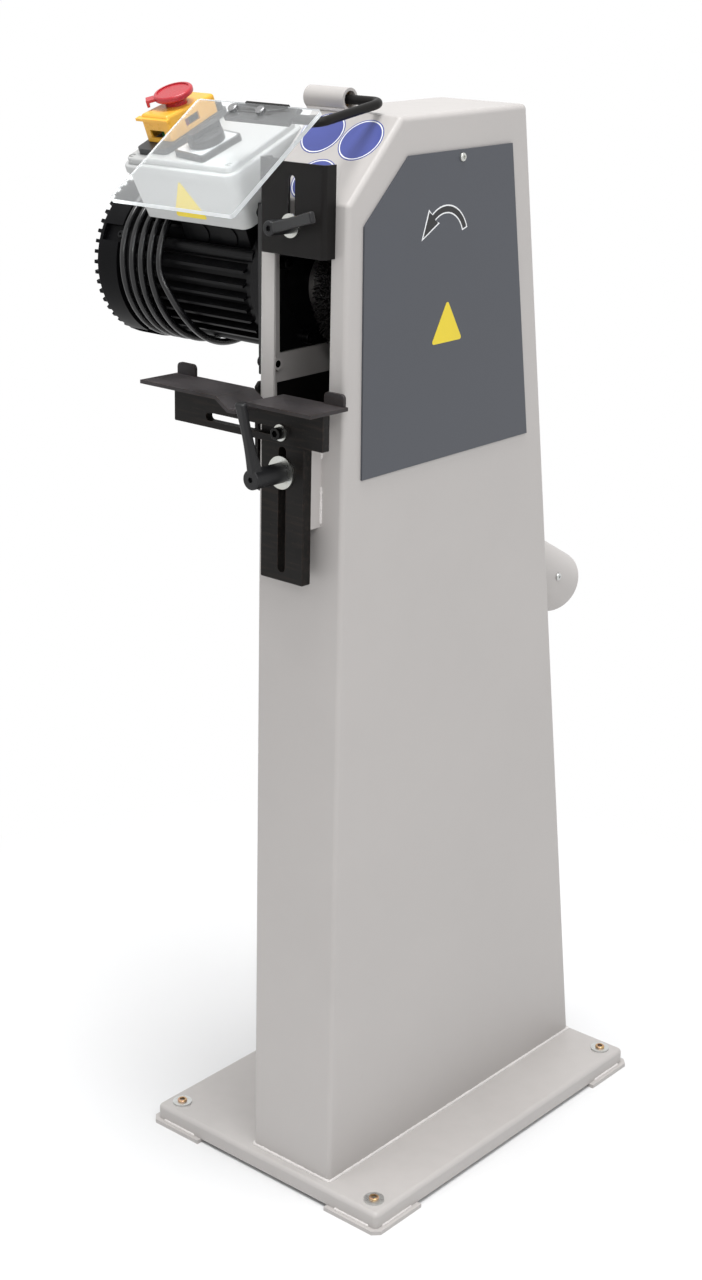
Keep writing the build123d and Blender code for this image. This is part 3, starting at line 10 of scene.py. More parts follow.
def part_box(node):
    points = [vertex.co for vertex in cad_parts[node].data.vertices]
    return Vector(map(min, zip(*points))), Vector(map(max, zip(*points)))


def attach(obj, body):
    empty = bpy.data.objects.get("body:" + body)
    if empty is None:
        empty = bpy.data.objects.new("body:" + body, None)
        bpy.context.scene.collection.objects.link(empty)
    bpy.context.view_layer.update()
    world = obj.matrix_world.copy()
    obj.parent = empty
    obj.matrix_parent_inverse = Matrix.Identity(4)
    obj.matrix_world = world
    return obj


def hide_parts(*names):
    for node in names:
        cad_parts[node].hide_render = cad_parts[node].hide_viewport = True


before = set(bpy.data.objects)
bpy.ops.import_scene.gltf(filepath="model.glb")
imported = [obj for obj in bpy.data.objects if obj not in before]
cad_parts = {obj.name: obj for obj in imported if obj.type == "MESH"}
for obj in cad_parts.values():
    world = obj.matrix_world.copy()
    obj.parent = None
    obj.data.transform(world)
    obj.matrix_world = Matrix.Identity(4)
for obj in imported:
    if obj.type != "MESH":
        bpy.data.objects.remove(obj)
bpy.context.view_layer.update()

bl_info = {
    "name": "Brush Deburring Machine",
    "version": (1, 0, 0),
    "blender": (4, 5, 0),
    "location": "View3D > Sidebar > Deburring",
    "description": "Dresses the packed machine with its finishes, cable, strands, seams and marks",
    "category": "Object",
}

# The column's own layout in millimetres: x = 0 at its middle, y = 0 at the foot of its front
COLUMN_SHIFT = Vector((88.0, -194.3721, 0.0))
COLUMN_SIDE = 62
COLUMN_DEPTH = 486
TRAY_TOP = 25
CHAMFER_Y = 20.5
CHAMFER_Z = 1167
CHAMFER_RUN = 83.5
CHAMFER_RISE = 83.0
FRONT_LEAN = atan2(CHAMFER_Y, CHAMFER_Z - TRAY_TOP)
BACK_LEAN = 167 / 1225
SHIELD_SLOPE = radians(35)
AXIS_Y = 118
AXIS_Z = 1066
ACROSS = Vector((1, 0, 0))

# Origin of the switch box's tilted frame: x in the layout, y and z from the motor's axis
BOX_TILT = radians(22)
BOX_X = -158
BOX_Y = -12
BOX_Z = 94

# Winding of the cable round the motor, in millimetres
COIL_X = -284.3
COIL_PITCH = 14.6
COIL_REACH = 95
COIL_RISE = 87
COIL_SKEW = 7.0
COIL_LATE_SLANT = 60
COIL_LATE_POWER = 6.3
COIL_BOW = 5.8
COIL_LOOSENING = 19

# Camera of the photograph: its place in the layout, and its azimuth, pitch and roll in degrees
CAMERA_PLACE = (1472.308, -1600.547, 1457.342)
CAMERA_TURNS = (40.853, 19.379, 0.546)
SENSOR_HEIGHT = 36.0

# Fixed colours, and the places in metres where a finish changes along an axis
DUST_COLOR = (0.36, 0.35, 0.33, 1)
BARE_STEEL = (0.26, 0.26, 0.27, 1)
SCREW_SHEEN = (0.50, 0.31, 0.27, 1)
# Painted glow of the clear sheet: light it emits on its faces, brighter on its sawn edges
SHEET_PAINTED_GLOW = (0.055, 0.057, 0.058, 1)
SAWN_EDGE_PAINTED_GLOW = (0.17, 0.18, 0.185, 1)
SHEET_SHADOW = (0.93, 0.95, 0.95, 1)
SKY = (0.97, 0.98, 1.0, 1)
WHITE = (1, 1, 1, 1)
COWL_EDGE = (-0.10, -0.11)
WASHER_TOP = (0.02755, 0.02765)


def at(x, y, z):
    """Point of the column's layout, in metres in the frame of the model."""
    return (Vector((x, y, z)) + COLUMN_SHIFT) / 1000


def on_front(x, height, out):
    """Point at a height on the leaning front, out millimetres in front of it."""
    y = (height - TRAY_TOP) * sin(FRONT_LEAN) / cos(FRONT_LEAN) - out * cos(FRONT_LEAN)
    return at(x, y, height + out * sin(FRONT_LEAN))


def on_box(u, v, w):
    """Point in the tilted frame of the switch box."""
    y = BOX_Y + v
    z = BOX_Z + w
    return at(
        BOX_X + u,
        AXIS_Y + y * cos(BOX_TILT) - z * sin(BOX_TILT),
        AXIS_Z + y * sin(BOX_TILT) + z * cos(BOX_TILT),
    )


def color_property(name, description, default):
    return FloatVectorProperty(
        name=name, description=description, default=default, subtype="COLOR", size=3, min=0, max=1
    )


def number_property(name, description, default, **kind):
    return FloatProperty(name=name, description=description, default=default, min=0, **kind)


def length_property(name, description, default):
    return number_property(name, description, default, unit="LENGTH", precision=4)


def power_property(name, description, default):
    return number_property(name, description, default, unit="POWER")


def count_property(name, description, default, least=0):
    return IntProperty(name=name, description=description, default=default, min=least)


class PaintSettings(bpy.types.PropertyGroup):
    """Colours of the painted sheet steel and the motor."""

    column: color_property("Column", "Light grey coat of the column and tray", (0.486, 0.462, 0.446))
    # The seams carry the column's coat; their lighter colour is painted highlight along the weld beads
    seam: color_property("Seam", "Powder coat on the weld seams", (0.690, 0.662, 0.644))
    door: color_property("Door", "Anthracite coat of the side door", (0.066, 0.071, 0.084))
    guard: color_property("Guard", "Guard, cleaning cover and shield's arm", (0.0085, 0.0076, 0.0073))
    plate: color_property("Motor plate", "Glossy black paint", (0.0045, 0.0045, 0.0050))
    motor: color_property("Motor", "Black of the cast motor and its cowl", (0.0040, 0.0040, 0.0046))


class MetalSettings(bpy.types.PropertyGroup):
    """Colours of the bare, blackened and plated metals."""

    blackened: color_property("Blackened steel", "Rest and crossbar", (0.0068, 0.0060, 0.0056))
    # The table's colour is lighter than the other blackened steel as painted sheen: light falling on its
    # top is painted into its colour
    table: color_property("Table", "Top of the rest, rubbed by the work", (0.0310, 0.0280, 0.0290))
    worn: color_property("Worn edge", "Edges of the blackened steel", (0.060, 0.040, 0.029))
    zinc: color_property("Zinc", "Zinc plated screws, studs and washers", (0.60, 0.61, 0.60))
    bolt: color_property("Dark zinc", "Bolts of the shield", (0.30, 0.30, 0.31))
    oxide: color_property("Black oxide", "Bolts of motor, rest and cowl", (0.022, 0.022, 0.023))
    gold: color_property("Yellow zinc", "Levelling screws", (0.62, 0.42, 0.15))
    turned: color_property("Turned steel", "Arbor, flange, nut and shaft", (0.50, 0.49, 0.48))
    bronze: color_property("Bronze", "Bushes of the shield's arm", (0.30, 0.19, 0.08))
    core: color_property("Motor iron", "Stator and rotor", (0.12, 0.10, 0.09))


class PlasticSettings(bpy.types.PropertyGroup):
    """Colours of the mouldings, the cable and the clear panel."""

    box: color_property("Switch box", "Pale grey moulding", (0.475, 0.480, 0.475))
    black: color_property("Black moulding", "Levers, knob, fan and plug", (0.0095, 0.0095, 0.0105))
    dark: color_property("Dark moulding", "Bases of the switches", (0.034, 0.035, 0.037))
    yellow: color_property("Yellow moulding", "Cover of the emergency stop", (0.83, 0.435, 0.045))
    red: color_property("Red moulding", "Mushroom head and stop button", (0.46, 0.022, 0.033))
    green: color_property("Green moulding", "Start button", (0.03, 0.25, 0.07))
    cable: color_property("Cable sheath", "Black sheath of the cable", (0.0060, 0.0060, 0.0068))
    clear: color_property("Clear panel", "Clear sheet of the shield", (0.965, 0.982, 0.985))
    strand: color_property("Strands", "Abrasive strands of the brush", (0.0090, 0.0080, 0.0075))


class CableSettings(bpy.types.PropertyGroup):
    """Mains cable wound round the motor."""

    diameter: length_property("Diameter", "Outside diameter of the cable", 0.008)
    length: length_property("Length", "Length from the gland to the plug", 3.10)
    turns: count_property("Turns", "Turns wound round the motor", 5, least=1)
    steps: count_property("Points", "Control points for each turn", 24, least=12)


class StrandSettings(bpy.types.PropertyGroup):
    """Strands of the brush."""

    count: count_property("Strands", "Number of strands", 3600, least=100)
    radius: length_property("Radius", "Radius of one strand", 0.00055)
    inner: length_property("Root", "Radius of the core that the strands stand on", 0.0415)
    outer: length_property("Tip", "Radius of the brush", 0.0748)
    width: length_property("Width", "Width of the brush", 0.037)
    seed: count_property("Seed", "Seed of the strands' spread", 7)


class SeamSettings(bpy.types.PropertyGroup):
    """Painted weld seams."""

    foot: length_property("Foot seam", "Half width of the seam at the column's foot", 0.0026)
    stitch: length_property("Stitch seam", "Half width of the short seams", 0.0020)
    pitch: length_property("Ripple", "Distance between the ripples of a seam", 0.0030)
    seed: count_property("Seed", "Seed of the ripples' spread", 11)


class MarkSettings(bpy.types.PropertyGroup):
    """Plain coloured marks without any picture or writing."""

    blue: color_property("Blue", "Discs on the sloping front", (0.056, 0.074, 0.290))
    white: color_property("White", "Rings and outlines", (0.86, 0.87, 0.88))
    yellow: color_property("Yellow", "Triangles", (0.80, 0.62, 0.030))
    inlay: color_property("Grey", "Inlay of the selector's plate", (0.60, 0.61, 0.62))
    ink: color_property("Black", "Arrow of the turning direction", (0.010, 0.010, 0.011))
    disc: length_property("Disc radius", "Radius of a disc", 0.027)
    film: length_property("Film", "Thickness of the film", 0.0002)


class StageSettings(bpy.types.PropertyGroup):
    """Floor, light and lens."""

    floor: color_property("Floor", "Pale studio floor", (0.78, 0.78, 0.78))
    sky: number_property("Room light", "Strength of the even light", 0.46)
    key: power_property("Key light", "Power of the large front light", 3)
    fill: power_property("Fill light", "Power of the side light", 18)
    top: power_property("Top light", "Power of the overhead light", 1260)
    glint: power_property("Glint light", "Power of the small light", 9)
    lens: number_property("Lens", "Focal length", 58.9745, unit="CAMERA")


class DeburringSettings(bpy.types.PropertyGroup):
    """All sizes and colours of the machine's dressing."""

    paint: PointerProperty(type=PaintSettings)
    metal: PointerProperty(type=MetalSettings)
    plastic: PointerProperty(type=PlasticSettings)
    cable: PointerProperty(type=CableSettings)
    strand: PointerProperty(type=StrandSettings)
    seam: PointerProperty(type=SeamSettings)
    mark: PointerProperty(type=MarkSettings)
    stage: PointerProperty(type=StageSettings)


def settings():
    return bpy.context.scene.deburring


def new_object(name, data):
    made = bpy.data.objects.new(name, data)
    bpy.context.scene.collection.objects.link(made)
    return made


def fill(tree, node, inputs):
    """Link the inputs of a node, or give them values."""
    for key, value in inputs.items():
        if isinstance(value, bpy.types.NodeSocket):
            tree.links.new(value, node.inputs[key])
        else:
            node.inputs[key].default_value = value


def add(tree, kind, inputs=None, **options):
    """New node with its options set, and its inputs linked or given values."""
    made = tree.nodes.new(kind)
    for name, value in options.items():
        setattr(made, name, value)
    fill(tree, made, inputs or {})
    return made


def math(tree, operation, first, second=0.5):
    return add(tree, "ShaderNodeMath", {0: first, 1: second}, operation=operation).outputs[0]


def times(tree, first, second):
    return math(tree, "MULTIPLY", first, second)


def remap(tree, value, low, high, to_low=0.0, to_high=1.0):
    made = add(tree, "ShaderNodeMapRange", {0: value, 1: low, 2: high, 3: to_low, 4: to_high})
    return made.outputs[0]


def noise(tree, vector, scale, detail, roughness=0.5):
    values = {"Vector": vector, "Scale": scale, "Detail": detail, "Roughness": roughness}
    return add(tree, "ShaderNodeTexNoise", values).outputs["Fac"]


def likeness(tree, first, second):
    """How far two directions agree, from -1 to 1."""
    made = add(tree, "ShaderNodeVectorMath", {0: first, 1: second}, operation="DOT_PRODUCT")
    return made.outputs["Value"]


def component(tree, vector, axis):
    return add(tree, "ShaderNodeSeparateXYZ", {0: vector}).outputs[axis]


def blend_colors(tree, factor, first, second):
    made = add(tree, "ShaderNodeMix", {0: factor, 6: first, 7: second}, data_type="RGBA")
    return made.outputs[2]


def shade(color, amount):
    """Colour with full alpha, made lighter or darker by a share."""
    return tuple(min(1.0, channel * amount) for channel in color) + (1.0,)


def shaded(tree, mask, color, low, high):
    """Colour that runs along a mask from one shade to another."""
    return blend_colors(tree, mask, shade(color, low), shade(color, high))


def overlay(tree, tone, mask, amount, color):
    """Colour laid over a tone where a mask shows, at a share of its strength."""
    return blend_colors(tree, times(tree, mask, amount), tone, color)


def new_group(name, numbers, masks):
    """Empty shader node group that makes masks from coordinates and numbers."""
    tree = bpy.data.node_groups.new(name, "ShaderNodeTree")
    tree.interface.new_socket(name="Vector", in_out="INPUT", socket_type="NodeSocketVector")
    for socket, default in numbers.items():
        made = tree.interface.new_socket(name=socket, in_out="INPUT", socket_type="NodeSocketFloat")
        made.default_value = default
    for socket in masks:
        tree.interface.new_socket(name=socket, in_out="OUTPUT", socket_type="NodeSocketFloat")
    return tree, tree.nodes.new("NodeGroupInput").outputs, tree.nodes.new("NodeGroupOutput")


def surface_texture_group():
    """Grain, slow patches and small flecks of a painted, cast or moulded surface."""
    scales = {"Grain Scale": 700.0, "Patch Scale": 9.0}
    tree, given, result = new_group("Surface Texture", scales, ("Grain", "Patches", "Flecks"))
    grain = noise(tree, given["Vector"], given["Grain Scale"], detail=3.0, roughness=0.55)
    patches = noise(tree, given["Vector"], given["Patch Scale"], detail=5.0, roughness=0.6)
    cell_scale = times(tree, given["Grain Scale"], 0.35)
    cells = add(tree, "ShaderNodeTexVoronoi", {"Vector": given["Vector"], "Scale": cell_scale})
    flecks = remap(tree, cells.outputs["Distance"], 0.16, 0.08)
    fill(tree, result, {"Grain": grain, "Patches": remap(tree, patches, 0.3, 0.7), "Flecks": flecks})
    return tree


def edge_wear_group():
    """Mask of the worn edges, broken up along their length."""
    tree, given, result = new_group("Edge Wear", {"Width": 0.0012, "Break Up": 140.0}, ("Wear",))
    rounded = add(tree, "ShaderNodeBevel", {"Radius": given["Width"]}, samples=4).outputs[0]
    normal = add(tree, "ShaderNodeNewGeometry").outputs["Normal"]
    edge = remap(tree, likeness(tree, rounded, normal), 0.985, 0.80)
    broken = remap(tree, noise(tree, given["Vector"], given["Break Up"], detail=4.0), 0.38, 0.62)
    fill(tree, result, {"Wear": times(tree, edge, broken)})
    return tree


def dust_group():
    """Mask of the fine dust that lies on faces that look up."""
    tree, given, result = new_group("Settled Dust", {"Scale": 60.0}, ("Dust",))
    normal = add(tree, "ShaderNodeNewGeometry").outputs["Normal"]
    upward = remap(tree, component(tree, normal, "Z"), 0.4, 0.95)
    uneven = remap(tree, noise(tree, given["Vector"], given["Scale"], detail=6.0), 0.4, 0.75)
    fill(tree, result, {"Dust": times(tree, upward, uneven)})
    return tree


def group_node(tree, name, build, *values):
    """Outputs of a shared group, made at its first use, with its inputs set in their order."""
    group = bpy.data.node_groups.get(name) or build()
    return add(tree, "ShaderNodeGroup", dict(enumerate(values)), node_tree=group).outputs


def texture(tree, coordinates, grain, patch):
    return group_node(tree, "Surface Texture", surface_texture_group, coordinates, grain, patch)


def wear(tree, coordinates, width, break_up):
    return group_node(tree, "Edge Wear", edge_wear_group, coordinates, width, break_up)["Wear"]


def dust(tree, coordinates, scale):
    return group_node(tree, "Settled Dust", dust_group, coordinates, scale)["Dust"]


def start_material(name):
    """New material with its node tree, shader and object coordinates."""
    material = bpy.data.materials.new(name)
    material.use_nodes = True
    tree = material.node_tree
    shader = tree.nodes["Principled BSDF"]
    coordinates = add(tree, "ShaderNodeTexCoord").outputs["Object"]
    return material, tree, shader, coordinates


def spread(tree, value, middle, reach):
    """Mask spread evenly round a middle value."""
    return remap(tree, value, 0.0, 1.0, middle - reach, middle + reach)


def dress(tree, shader, detail, tone, roughness, reach, depth, height=None, gloss=0.5, metal=0.0):
    """Give a shader its colour, its patchy roughness, its relief and its constants."""
    relief = detail["Grain"] if height is None else height
    bump = add(tree, "ShaderNodeBump", {"Height": relief, "Distance": depth, "Strength": 1.0})
    rough = spread(tree, detail["Patches"], roughness, reach)
    fill(tree, shader, {"Base Color": tone, "Roughness": rough, "Normal": bump.outputs[0]})
    fill(tree, shader, {"Specular IOR Level": gloss, "Metallic": metal})


def mix_surface(tree, output, factor, first, second):
    """Link a blend of two shaders to the surface of the tree's output."""
    shaders = {0: factor, 1: first.outputs[0], 2: second.outputs[0]}
    joined = add(tree, "ShaderNodeMixShader", shaders)
    fill(tree, tree.nodes[output], {"Surface": joined.outputs[0]})


def coated(
    tree, shader, coordinates, color, roughness, grain, depth, patch,
    contrast=0.06, gloss=0.5, flecks=0.0, dusty=0.0, worn=0.0,
):
    """Painted or moulded finish with grain, slow patches, flecks, dust and worn edges."""
    detail = texture(tree, coordinates, grain, patch)
    tone = shaded(tree, detail["Patches"], color, 1 - contrast, 1 + contrast)
    if flecks:
        tone = overlay(tree, tone, detail["Flecks"], flecks, shade(color, 2.2))
    if dusty:
        tone = overlay(tree, tone, dust(tree, coordinates, scale=55.0), dusty, DUST_COLOR)
    if worn:
        edges = wear(tree, coordinates, width=0.0008, break_up=150.0)
        tone = overlay(tree, tone, edges, worn, BARE_STEEL)
    dress(tree, shader, detail, tone, roughness, reach=0.05, depth=depth, gloss=gloss)


def plated(tree, shader, coordinates, color, roughness, tint):
    """Plated screw metal with a faint second tint in its sheen."""
    detail = texture(tree, coordinates, grain=1400.0, patch=160.0)
    tone = blend_colors(tree, detail["Patches"], shade(color, 1.0), shade(tint, 1.0))
    dress(tree, shader, detail, tone, roughness, reach=0.07, depth=0.00001, metal=1.0)


def panel_screw(tree, shader, coordinates, color):
    """Zinc-plated screws of the sheet panels, and black ones at the motor's cowl."""
    on_cowl = remap(tree, component(tree, coordinates, "X"), *COWL_EDGE)
    detail = texture(tree, coordinates, grain=1400.0, patch=160.0)
    tone = shaded(tree, detail["Patches"], color, 0.94, 1.04)
    tone = blend_colors(tree, on_cowl, tone, shade(settings().metal.oxide, 1.0))
    dress(tree, shader, detail, tone, roughness=0.31, reach=0.07, depth=0.00001, metal=1.0)


def blackened(tree, shader, coordinates, color):
    """Blackened hot-rolled steel: mottled scale, drawn streaks and brown worn edges."""
    brown = settings().metal.worn
    detail = texture(tree, coordinates, grain=420.0, patch=26.0)
    drawn = add(tree, "ShaderNodeMapping", {"Vector": coordinates, "Scale": (22.0, 240.0, 240.0)})
    streaks = noise(tree, drawn.outputs[0], 1.0, detail=4.0)
    edges = wear(tree, coordinates, width=0.0013, break_up=120.0)
    tone = shaded(tree, detail["Patches"], color, 0.70, 1.7)
    tone = overlay(tree, tone, remap(tree, streaks, 0.5, 0.75), 0.30, shade(brown, 0.75))
    tone = overlay(tree, tone, detail["Flecks"], 0.12, shade(brown, 1.4))
    tone = overlay(tree, tone, edges, 0.8, shade(brown, 1.2))
    height = math(tree, "ADD", detail["Grain"], times(tree, streaks, 0.6))
    dress(
        tree, shader, detail, tone, roughness=0.44, reach=0.09, depth=0.00007, height=height, gloss=0.16
    )


def turned(tree, shader, coordinates, color):
    """Turned steel with fine rings round the motor's axis."""
    centre = at(0, AXIS_Y, AXIS_Z)
    shift = {"Vector": coordinates, "Location": (0.0, -centre.y, -centre.z)}
    centred = add(tree, "ShaderNodeMapping", shift).outputs[0]
    waves = {"Vector": centred, "Scale": 260.0, "Distortion": 1.2, "Detail": 2.0, "Detail Scale": 3.0}
    rings = add(tree, "ShaderNodeTexWave", waves, wave_type="RINGS", rings_direction="X").outputs["Fac"]
    detail = texture(tree, coordinates, grain=900.0, patch=40.0)
    tone = shaded(tree, rings, color, 0.82, 1.08)
    dress(
        tree, shader, detail, tone, roughness=0.34, reach=0.08, depth=0.00002, height=rings, metal=1.0
    )


def levelling(tree, shader, coordinates, color):
    """Yellow-plated screws on zinc-plated washers, parted at the washers' height."""
    screw = remap(tree, component(tree, coordinates, "Z"), *WASHER_TOP)
    detail = texture(tree, coordinates, grain=1200.0, patch=240.0)
    sheen = blend_colors(tree, detail["Patches"], shade(color, 1.0), SCREW_SHEEN)
    washer = shaded(tree, detail["Patches"], settings().metal.zinc, 0.92, 1.06)
    tone = blend_colors(tree, screw, washer, sheen)
    dress(tree, shader, detail, tone, roughness=0.32, reach=0.08, depth=0.00001, metal=1.0)


def clear_sheet(tree, shader, coordinates, color):
    """Clear sheet with matt sawn edges, which lets the light through to what stands behind it; its faces
    give off a faint painted glow, brighter on the sawn edges.
    """
    detail = texture(tree, coordinates, grain=500.0, patch=14.0)
    facing = add(tree, "ShaderNodeTexCoord").outputs["Normal"]
    across = (0.0, -sin(SHIELD_SLOPE), cos(SHIELD_SLOPE))
    sawn = remap(tree, math(tree, "ABSOLUTE", likeness(tree, facing, across)), 0.75, 0.35)
    polish = spread(tree, detail["Patches"], 0.03, 0.02)
    matt = math(tree, "MAXIMUM", polish, times(tree, sawn, 0.55))
    # Painted glow: the sheet emits a faint light, brighter on its sawn edges
    glow = blend_colors(tree, sawn, SHEET_PAINTED_GLOW, SAWN_EDGE_PAINTED_GLOW)
    tone = shaded(tree, detail["Patches"], color, 0.99, 1.0)
    fill(tree, shader, {"Base Color": tone, "Roughness": matt, "Emission Color": glow})
    fill(tree, shader, {"Transmission Weight": 1.0, "IOR": 1.58})
    fill(tree, shader, {"Specular IOR Level": 1.0, "Emission Strength": 1.0})
    shadow = add(tree, "ShaderNodeLightPath").outputs["Is Shadow Ray"]
    through = add(tree, "ShaderNodeBsdfTransparent", {"Color": SHEET_SHADOW})
    mix_surface(tree, "Material Output", shadow, shader, through)


def strands(tree, shader, coordinates, color):
    """Abrasive nylon with a tone of its own for each strand."""
    own = add(tree, "ShaderNodeAttribute", attribute_name="tone").outputs["Fac"]
    detail = texture(tree, coordinates, grain=2600.0, patch=50.0)
    tone = shaded(tree, own, color, 0.55, 1.7)
    tone = overlay(tree, tone, detail["Flecks"], 0.5, shade(color, 2.6))
    dress(tree, shader, detail, tone, roughness=0.53, reach=0.08, depth=0.00004, gloss=0.25)


def recipe(make, color, nodes=(), **values):
    """One finish: its maker, the setting with its colour, the nodes that carry it and its values."""
    return make, color, nodes, values


GLOSSY = {"grain": 1200.0, "depth": 0.00002, "patch": 30.0}
FILM = {"grain": 800.0, "depth": 0.00001, "patch": 20.0}

FINISHES = {
    "Column Paint": recipe(
        coated, "paint.column",
        ("base_tray", "foot_plates", "column_front", "column_cap", "column_back", "column_left_side",
         "column_right_side", "extraction_nozzle", "rest_bracket", "shield_pivot_tube", "plate_nuts"),
        roughness=0.44, grain=620.0, depth=0.00006, patch=5.0, contrast=0.025, dusty=0.12,
    ),
    # Lighter than the column's coat as painted highlight on the weld beads
    "Seam Paint Painted Highlight": recipe(coated, "paint.seam", roughness=0.46, grain=420.0, depth=0.00012, patch=60.0),
    "Door Paint": recipe(
        coated, "paint.door", ("door_panel",),
        roughness=0.46, grain=1100.0, depth=0.00007, patch=7.0, contrast=0.05, flecks=0.10,
    ),
    "Guard Paint": recipe(
        coated, "paint.guard", ("guard_plate", "cleaning_cover", "shield_arm"),
        roughness=0.42, grain=900.0, depth=0.00004, patch=12.0, contrast=0.10, gloss=0.15,
        flecks=0.15, worn=0.22,
    ),
    "Motor Plate Paint": recipe(
        coated, "paint.plate", ("motor_plate",),
        roughness=0.18, grain=300.0, depth=0.00003, patch=15.0, contrast=0.10, dusty=0.05,
    ),
    "Motor Paint": recipe(
        coated, "paint.motor",
        ("motor_flange_shield", "motor_housing", "motor_rear_shield", "box_pedestal"),
        roughness=0.42, grain=340.0, depth=0.00020, patch=18.0, contrast=0.20, gloss=0.16,
        flecks=0.15, dusty=0.015,
    ),
    "Blackened Steel": recipe(blackened, "metal.blackened", ("rest_plate", "rest_bar")),
    # Lighter copy of the blackened steel: painted sheen on the rest's table
    "Painted Sheen Table Steel": recipe(blackened, "metal.table", ("rest_table",)),
    "Zinc Plate": recipe(
        plated, "metal.zinc", ("clamp_studs", "door_screw", "rest_bar_washer"),
        roughness=0.29, tint=(0.56, 0.56, 0.51),
    ),
    "Panel Screw Plate": recipe(panel_screw, "metal.zinc", ("panel_screws",)),
    "Black Oxide": recipe(
        plated, "metal.oxide", ("motor_bolts", "rest_bar_screw"),
        roughness=0.34, tint=(0.030, 0.029, 0.028),
    ),
    "Dark Zinc Plate": recipe(
        plated, "metal.bolt", ("shield_bolts",), roughness=0.26, tint=(0.36, 0.36, 0.36)
    ),
    "Levelling Screw Plate": recipe(levelling, "metal.gold", ("levelling_screws",)),
    "Turned Steel": recipe(
        turned, "metal.turned",
        ("motor_shaft", "motor_bearings", "brush_arbor", "brush_flange", "arbor_nut"),
    ),
    "Bush Bronze": recipe(
        plated, "metal.bronze", ("shield_bushes",), roughness=0.38, tint=(0.25, 0.16, 0.09)
    ),
    "Motor Iron": recipe(
        coated, "metal.core", ("stator", "rotor_core"),
        roughness=0.55, grain=300.0, depth=0.00010, patch=30.0, contrast=0.2,
    ),
    "Switch Box Moulding": recipe(
        coated, "plastic.box",
        ("switch_box_body", "switch_box_lid", "switch_box_screws"),
        roughness=0.40, grain=1500.0, depth=0.00003, patch=8.0, contrast=0.015, dusty=0.04,
    ),
    "Black Moulding": recipe(
        coated, "plastic.black",
        ("cooling_fan", "brush_core", "selector_knob", "cable_gland", "plug", "guard_lever", "rest_lever",
         "switch_contacts"),
        roughness=0.42, grain=1300.0, depth=0.00006, patch=30.0, contrast=0.12, gloss=0.35,
        flecks=0.10, worn=0.10,
    ),
    "Cowl Moulding": recipe(
        coated, "paint.motor", ("fan_cowl",),
        roughness=0.38, grain=1000.0, depth=0.00004, patch=14.0, contrast=0.15, gloss=0.06, dusty=0.01,
    ),
    "Switch Base Moulding": recipe(
        coated, "plastic.dark", ("estop_base", "selector_plate"),
        roughness=0.40, grain=1400.0, depth=0.00004, patch=25.0, contrast=0.08, gloss=0.4,
    ),
    "Yellow Moulding": recipe(
        coated, "plastic.yellow", ("estop_cover",), roughness=0.30, contrast=0.05, **GLOSSY
    ),
    "Red Moulding": recipe(
        coated, "plastic.red", ("estop_mushroom", "stop_button"), roughness=0.28, **GLOSSY
    ),
    "Green Moulding": recipe(coated, "plastic.green", ("start_button",), roughness=0.30, **GLOSSY),
    "Cable Sheath": recipe(
        coated, "plastic.cable", ("cable_lead", "cable_coil"),
        roughness=0.23, grain=1800.0, depth=0.00002, patch=26.0, contrast=0.15,
    ),
    "Clear Sheet": recipe(clear_sheet, "plastic.clear", ("shield_panel",)),
    "Brush Strands": recipe(strands, "plastic.strand", ("brush_bristles",)),
    "Blue Film": recipe(coated, "mark.blue", roughness=0.36, contrast=0.04, **FILM),
    "White Film": recipe(coated, "mark.white", roughness=0.38, contrast=0.02, **FILM),
    "Yellow Film": recipe(coated, "mark.yellow", roughness=0.36, contrast=0.03, **FILM),
    "Grey Inlay": recipe(
        coated, "mark.inlay", roughness=0.40, grain=900.0, depth=0.00002, patch=25.0, contrast=0.03
    ),
    "Black Film": recipe(coated, "mark.ink", roughness=0.36, contrast=0.08, **FILM),
}


def finish(name):
    """Finish by its name, made at its first use."""
    make, color, _, values = FINISHES[name]
    material = bpy.data.materials.get(name)
    if material is None:
        material, *parts = start_material(name)
        make(*parts, settings().path_resolve(color), **values)
    return material


class DEBURRING_OT_camera(bpy.types.Operator):
    """Place the camera where the photograph was taken from"""

    bl_idname = "deburring.camera"
    bl_label = "Camera"

    def execute(self, context):
        azimuth, pitch, roll = (radians(turn) for turn in CAMERA_TURNS)
        back = Vector((sin(azimuth) * cos(pitch), -cos(azimuth) * cos(pitch), sin(pitch)))
        level = Vector((cos(azimuth), sin(azimuth), 0.0))
        upright = back.cross(level)
        right = level * cos(roll) + upright * sin(roll)
        up = upright * cos(roll) - level * sin(roll)
        data = bpy.data.cameras.new("Camera")
        data.sensor_fit = "VERTICAL"
        data.sensor_height = SENSOR_HEIGHT
        data.lens = settings().stage.lens
        data.clip_end = 50.0
        camera = new_object("Camera", data)
        turn = Matrix((right, up, back)).transposed().to_4x4()
        camera.matrix_world = Matrix.Translation(at(*CAMERA_PLACE)) @ turn
        context.scene.camera = camera
        return {"FINISHED"}


def coil_point(turn, turns):
    """Point on the middle line of the wound cable, counted in turns from its start at the back."""
    angle = 2 * pi * turn
    lowness = sin(angle)
    slant = COIL_SKEW
    if lowness > 0:
        slant += COIL_LATE_SLANT * (turn / turns) ** COIL_LATE_POWER
    sideways = slant * lowness * (3 - lowness**2) / 2 - COIL_BOW * lowness**2
    last_quarter = max(0.0, turn - turns + 0.25) * 4
    away = COIL_LOOSENING * last_quarter**2 * (3 - 2 * last_quarter)
    return at(
        COIL_X + COIL_PITCH * turn + sideways,
        AXIS_Y + (COIL_REACH + away) * cos(angle),
        AXIS_Z - (COIL_RISE + away) * lowness,
    )


def set_points(spline, points):
    """Give a new spline its points."""
    spline.points.add(len(points) - 1)
    for target, point in zip(spline.points, points):
        target.co = (*point, 1.0)


